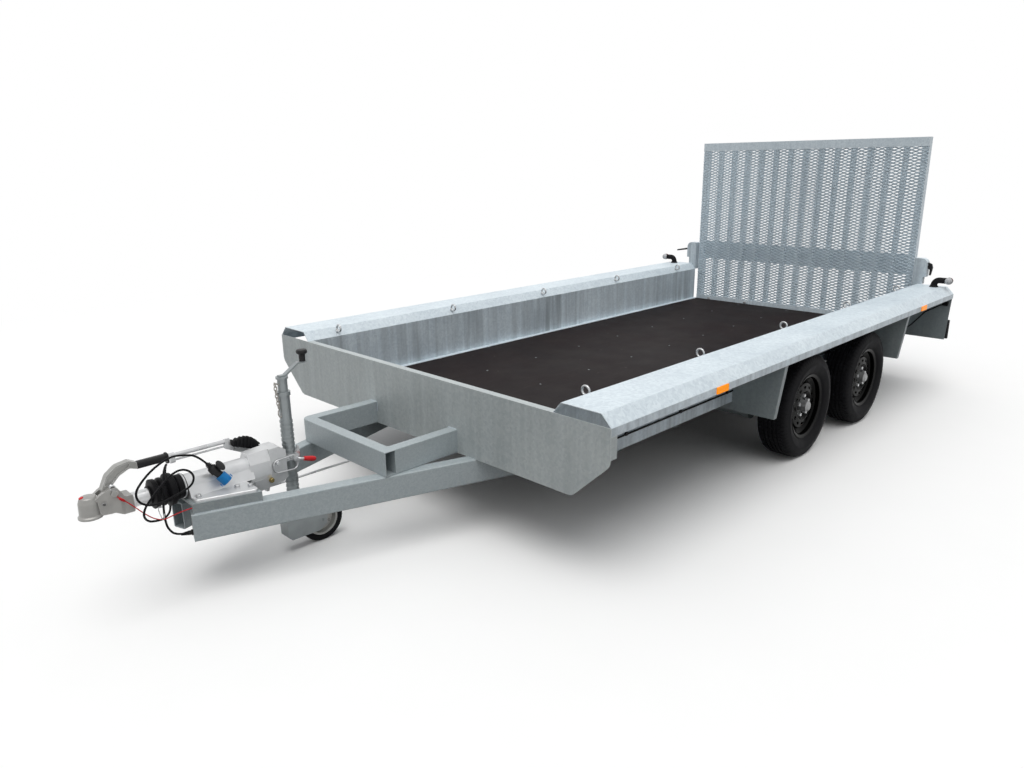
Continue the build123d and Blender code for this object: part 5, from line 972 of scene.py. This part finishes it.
class TRAILER_OT_wheel_nuts(bpy.types.Operator):
    """Fit the wheel nuts round each hub, and the rim of each brake's backplate"""

    bl_idname = "trailer.wheel_nuts"
    bl_label = "Wheel nuts"

    def execute(self, context):
        settings = context.scene.trailer_tyres
        for wheel, sign in WHEELS:
            low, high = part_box(f"hub_{wheel}")
            inner, outer = (low.y, high.y) if sign > 0 else (high.y, low.y)
            centre = (low + high) / 2.0
            centre.y = outer - sign * NUT_SEAT
            bm = bmesh.new()
            for index in range(settings.nuts):
                turn = math.tau * index / settings.nuts + FIRST_NUT
                out = AHEAD * math.cos(turn) + UP * math.sin(turn)
                add_hex(bm, centre + out * settings.nut_circle / 2.0, LEFT * sign, M12, 0.016, 1.2)
            add_piece(f"wheel_nuts_{wheel}", bm, "bright", f"wheel_{wheel}")
            centre.y = inner
            outline = mm((-9, 112), (-9, 144), (-8, 148), (-6, 144), (-6, 112))
            add_turned(f"brake_plate_{wheel}", "wheel", outline, centre, LEFT * sign, 56, closed=True)
        return {"FINISHED"}


def add_bellows_rings():
    """Rubber lip at the small end of the bellows, and a bright strap at the large end."""
    low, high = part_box("bellows")
    level = (low.z + high.z) / 2.0
    add_turned("bellows_ring", "rubber", mm((0, 29), (0.5, 34.5), (3.5, 35.5), (6.5, 34.5), (7, 29)),
               Vector((high.x, 0.0, level)), AHEAD, 48)
    add_turned("bellows_strap", "bright", mm((0, 47.4), (0.6, 48.6), (5.4, 48.6), (6, 47.4)),
               Vector((low.x + 0.004, 0.0, level)), AHEAD, 56)


def add_shaft():
    """Ground draw shaft with chamfered ends."""
    low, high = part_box("draw_shaft")
    length = high.x - low.x
    radius = (high.z - low.z) / 2.0
    chamfer = 0.0015
    shaft = add_turned("ground_shaft", "shaft", [
        (0.0, radius - chamfer), (chamfer, radius), (length - chamfer, radius), (length, radius - chamfer),
    ], Vector((low.x, 0.0, (low.z + high.z) / 2.0)), AHEAD, 96)
    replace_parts(shaft, "draw_shaft")


def add_lever_spring():
    """Torsion spring at the foot of the coupling's lever."""
    centre = Vector((HEAD_X + 1.326, 0.015, 0.506))
    radius, width, turns, steps = 0.0085, 0.018, 4, 16
    coil = []
    for step in range(turns * steps + 1):
        turn = math.tau * step / steps
        coil.append(centre + Vector((radius * math.cos(turn), width * step / (turns * steps),
                                     radius * math.sin(turn))))
    bm = bmesh.new()
    add_tube(bm, coil, 0.0017, 8)
    add_piece("lever_spring", bm, "bright")


class TRAILER_OT_coupling_trim(bpy.types.Operator):
    """Bolts, rings, shaft and marks of the overrun coupling"""

    bl_idname = "trailer.coupling_trim"
    bl_label = "Coupling trim"

    def execute(self, context):
        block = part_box("coupling_mount")[1]
        add_bolts("flange_bolts", "bright", [
            (block.x - 0.036, 0.069, block.z + 0.012), (block.x - 0.178, 0.088, block.z + 0.012),
            (block.x - 0.218, 0.116, block.z + 0.012),
        ], UP, M10, 0.009)
        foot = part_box("overrun_housing")[0]
        add_bolts("bracket_bolts", "brass", [(foot.x + 0.074, 0.042, foot.z + 0.037)], LEFT, M10, 0.010)
        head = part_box("coupling_head")[1]
        add_bolts("head_bolts", "recess", [(head.x - 0.081, 0.0290, 0.457)], (0.2, 1.0, 0.0), M8, 0.005)
        add_turned("lock_indicator", "red", mm((-2, 7.5), (0, 7.8), (1.8, 7), (2.6, 4), (2.8, 1)),
                   Vector((head.x - 0.020, 0.0, head.z - 0.0165)), (0.30, 0.0, 1.0), 28)
        add_bellows_rings()
        add_shaft()
        add_lever_spring()
        return {"FINISHED"}


def add_chain(top):
    """Short chain with a clip that hangs beside the winding head."""
    bm = bmesh.new()
    lug = top + Vector((0.0235, 0.0, 0.036))
    add_tube(bm, [top + Vector((0.016, 0.0, 0.030)), lug - Vector((0.002, 0.0, 0.002)),
                  lug + Vector((0.012, 0.0, 0.004))], 0.0032, 10)
    start = lug + Vector((0.013, 0.0, 0.006))
    for link in range(7):
        centre = start - Vector((0.0012 * link, 0.0, 0.0155 * link + 0.008))
        across = AHEAD if link % 2 else LEFT
        add_tube(bm, circle(centre, across * 0.0058, UP * 0.0100, 1.0, 16), 0.0021, 8, closed=True)
    hook = start - Vector((0.009, -0.001, 0.118))
    add_tube(bm, [hook + Vector((x, 0.0, z)) for x, z in (
        (0.0, 0.006), (0.006, -0.002), (0.007, -0.014), (0.003, -0.026), (-0.003, -0.029),
        (-0.007, -0.022), (-0.0065, -0.012))], 0.0024, 10)
    add_piece("safety_chain", bm, "chain")


class TRAILER_OT_jockey_trim(bpy.types.Operator):
    """Grip, bolts, knob and chain of the jockey wheel"""

    bl_idname = "trailer.jockey_trim"
    bl_label = "Jockey wheel trim"

    def execute(self, context):
        low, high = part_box("jockey_tube")
        axis_x = (low.x + high.x) / 2.0
        tip = Vector((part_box("jockey_clamp")[0].x + 0.0025, 0.072, 0.407))
        add_turned("clamp_grip", "red", mm(
            (-4.5, 2), (-3.5, 6), (-0.5, 8.8), (4, 10.4), (14, 11.2), (30, 10.6), (46, 9.4), (50, 8.8),
            (50.5, 6.6),
        ), tip, (0.962, -0.056, 0.265), 32)
        bolt_ahead, bolt_side, bolt_level = 0.080, 0.042, 0.424
        bm = bmesh.new()
        for sign in SIGNS:
            add_hex(bm, Vector((axis_x + bolt_ahead, sign * bolt_side, bolt_level)), LEFT * sign, M10, 0.011)
        add_hex(bm, Vector((axis_x - 0.006, 0.0525, 0.426)), LEFT, M8, 0.004)
        add_piece("clamp_bolts", bm, "bright")
        add_chain(Vector((axis_x, 0.006, high.z)))
        low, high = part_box("jockey_crank")
        add_turned("crank_knob", "black", mm(
            (0, 10.5), (1, 13), (10, 12.8), (28, 13.6), (36, 22), (44, 23.2), (49.5, 20), (51, 10),
        ), Vector((low.x + 0.022, 0.0, high.z - 0.050)), UP, 40)
        return {"FINISHED"}


def add_tail_lamps():
    """A black body for each lamp, with red, white and amber fields from the inner end."""
    low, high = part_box("tail_lamps")
    # The amber field has the reflectors' finish, with its painted light as emission.
    fields = {"lens": (0.0, 0.36), "clear": (0.36, 0.60), "amber": (0.60, 1.0)}
    width, rim, gap, inset = 0.232, 0.004, 0.0012, 0.005
    bodies = bmesh.new()
    lenses = {finish: bmesh.new() for finish in fields}
    for sign in SIGNS:
        inner = sign * (high.y - width)
        near, far = sorted((inner, sign * high.y))
        add_block(bodies, Vector((high.x - 0.016, near, low.z)), Vector((high.x, far, high.z)), 0.005)
        for finish, ends in fields.items():
            near, far = sorted(inner + sign * (rim + (width - 2.0 * rim) * end) for end in ends)
            add_block(lenses[finish], Vector((high.x - 0.026, near + gap, low.z + inset)),
                      Vector((high.x - 0.010, far - gap, high.z - inset)), 0.0035)
    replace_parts(add_piece("tail_lamp_bodies", bodies, "black"), "tail_lamps")
    for finish, bm in lenses.items():
        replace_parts(add_piece(f"tail_lamp_{finish}", bm, finish), "tail_lamps")


def add_markers():
    """Marker lamps on bent rubber arms: white lens ahead, red lens behind, black band between."""
    low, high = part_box("marker_lenses")
    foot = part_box("marker_stalks")[0].z
    x, z = (low.x + high.x) / 2.0, (low.z + high.z) / 2.0
    radius, half, bend = 0.0245, 0.032, 0.034
    root = high.y - 0.116
    lens = [(0.003, radius - 0.0020), (0.006, radius - 0.0010), (0.55 * half, 0.92 * radius),
            (0.80 * half, 0.72 * radius), (0.95 * half, 0.42 * radius), (half, 0.10 * radius)]
    band = [(-0.005, radius - 0.002), (-0.004, radius), (0.004, radius), (0.005, radius - 0.002)]
    arms = bmesh.new()
    parts = {finish: bmesh.new() for finish in ("clear", "lens", "black")}
    for sign in SIGNS:
        lathe(arms, mm((0, 28.5), (4, 28.5), (8, 24.5), (16, 22)), Vector((x, sign * root, foot)), UP, 36)
        path = [Vector((x, sign * root, foot + 0.002))]
        for step in range(9):
            turn = math.radians(11.25 * step)
            path.append(Vector((x, sign * (root + bend * (1.0 - math.cos(turn))),
                                z - bend * (1.0 - math.sin(turn)))))
        path.append(Vector((x, sign * (high.y - radius - 0.012), z)))
        add_tube(arms, path, 0.0205, 24)
        centre = Vector((x, sign * (high.y - radius), z))
        lathe(parts["clear"], lens, centre, AHEAD, 36)
        lathe(parts["lens"], lens, centre, -AHEAD, 36)
        lathe(parts["black"], band, centre, AHEAD, 36)
    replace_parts(add_piece("marker_arms", arms, "rubber"), "marker_stalks")
    for finish, bm in parts.items():
        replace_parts(add_piece(f"marker_{finish}", bm, finish), "marker_lenses")


class TRAILER_OT_lamps(bpy.types.Operator):
    """Rear lamps with their coloured fields, and the marker lamps on their arms"""

    bl_idname = "trailer.lamps"
    bl_label = "Lamps"

    def execute(self, context):
        add_tail_lamps()
        add_markers()
        return {"FINISHED"}


def add_deck_screws(settings):
    """Countersunk screws in rows over the crossmembers."""
    low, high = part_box("deck_panel")
    margin_x, margin_y = 0.05, 0.035
    bm = bmesh.new()
    for row in range(settings.screw_rows):
        x = low.x + margin_x + (high.x - low.x - 2.0 * margin_x) * row / (settings.screw_rows - 1)
        for column in range(settings.screw_columns):
            y = (high.y - margin_y) * (2.0 * column / (settings.screw_columns - 1) - 1.0)
            lathe(bm, mm((-1, 4.6), (0.2, 5), (0.5, 4.2), (0.2, 1.8)), Vector((x, y, high.z)), UP, 14)
    add_piece("deck_screws", bm, "dull")


class TRAILER_OT_fasteners(bpy.types.Operator):
    """Bolts of the ramp and the latch posts, and screws over the deck"""

    bl_idname = "trailer.fasteners"
    bl_label = "Fasteners"

    def execute(self, context):
        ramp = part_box("ramp_frame")[1]
        outer, inner, level = 0.762, 0.413, 0.410
        add_bolts("ramp_bolts", "bright", [(ramp.x, outer, level), (ramp.x, inner, level)], AHEAD, M12,
                  0.010, "ramp")
        add_deck_screws(context.scene.trailer_deck)
        low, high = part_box("latch_posts")
        add_bolts("post_bolts", "bright", [
            (high.x - 0.025, high.y - 0.022, z) for z in (low.z + 0.062, low.z + 0.088)], LEFT, M8, 0.006)
        return {"FINISHED"}


def add_bead(bm, start, end, radius=0.0026, spacing=0.0036):
    """Rippled bead along a straight joint."""
    count = max(4, int((end - start).length / spacing))
    step = (end - start) / count
    _, side, other = axes_about(step)
    rows = []
    for index in range(count + 1):
        swell = 1.0 + 0.16 * math.sin(2.4 * index) + 0.08 * math.sin(0.37 * index)
        rows.append(circle(start + step * index, side, other, radius * swell, 8))
    skin(bm, rows)


class TRAILER_OT_welds(bpy.types.Operator):
    """Weld beads where the drawbar, the bucket rest and the headboard meet"""

    bl_idname = "trailer.welds"
    bl_label = "Welds"

    def execute(self, context):
        low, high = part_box("bucket_rest")
        x = HEAD_X + 0.001
        block_low, block_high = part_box("coupling_mount")
        narrow, wide = 0.0915, 0.1665
        z = block_low.z + 0.001
        outer, inner = high.y - 0.003, high.y - 0.060
        bm = bmesh.new()
        for sign in SIGNS:
            for y in (sign * outer, sign * inner):
                add_bead(bm, Vector((x, y, low.z + 0.06)), Vector((x, y, high.z - 0.002)))
            add_bead(bm, Vector((x, sign * outer, high.z)), Vector((x, sign * inner, high.z)))
        for sign in SIGNS:
            add_bead(bm, Vector((block_high.x - 0.004, sign * narrow, z)),
                     Vector((block_low.x + 0.004, sign * wide, z)), 0.0024)
        add_piece("weld_beads", bm, "weld")
        return {"FINISHED"}


class TRAILER_PT_panel(bpy.types.Panel):
    """Lists the trailer's sizes, colours and pieces"""

    bl_label = "Machinery trailer"
    bl_idname = "TRAILER_PT_panel"
    bl_space_type = "VIEW_3D"
    bl_region_type = "UI"
    bl_category = "Trailer"

    def draw(self, context):
        for name, settings in SETTINGS.items():
            box = self.layout.box()
            box.label(text=name.removeprefix("trailer_").capitalize())
            for setting in settings.__annotations__:
                box.prop(getattr(context.scene, name), setting)
        for operator in OPERATORS:
            self.layout.operator(operator.bl_idname)


SETTINGS = {
    "trailer_finish": FinishSettings,
    "trailer_mesh": MeshSettings,
    "trailer_tyres": TyreSettings,
    "trailer_cables": CableSettings,
    "trailer_deck": DeckSettings,
    "trailer_stage": StageSettings,
}
OPERATORS = (
    TRAILER_OT_stage, TRAILER_OT_cables, TRAILER_OT_finishes, TRAILER_OT_ramp_mesh, TRAILER_OT_tyres,
    TRAILER_OT_wheel_nuts, TRAILER_OT_coupling_trim, TRAILER_OT_jockey_trim, TRAILER_OT_lamps,
    TRAILER_OT_fasteners, TRAILER_OT_welds,
)
CLASSES = (*SETTINGS.values(), *OPERATORS, TRAILER_PT_panel)


def register():
    for kind in CLASSES:
        bpy.utils.register_class(kind)
    for name, settings in SETTINGS.items():
        setattr(bpy.types.Scene, name, bpy.props.PointerProperty(type=settings))


def unregister():
    for name in SETTINGS:
        delattr(bpy.types.Scene, name)
    for kind in reversed(CLASSES):
        bpy.utils.unregister_class(kind)


def main():
    register()
    bpy.ops.trailer.stage()
    bpy.ops.trailer.cables()
    bpy.ops.trailer.finishes()
    bpy.ops.trailer.ramp_mesh()
    bpy.ops.trailer.tyres()
    bpy.ops.trailer.wheel_nuts()
    bpy.ops.trailer.coupling_trim()
    bpy.ops.trailer.jockey_trim()
    bpy.ops.trailer.lamps()
    bpy.ops.trailer.fasteners()
    bpy.ops.trailer.welds()


if __name__ == "__main__":
    main()
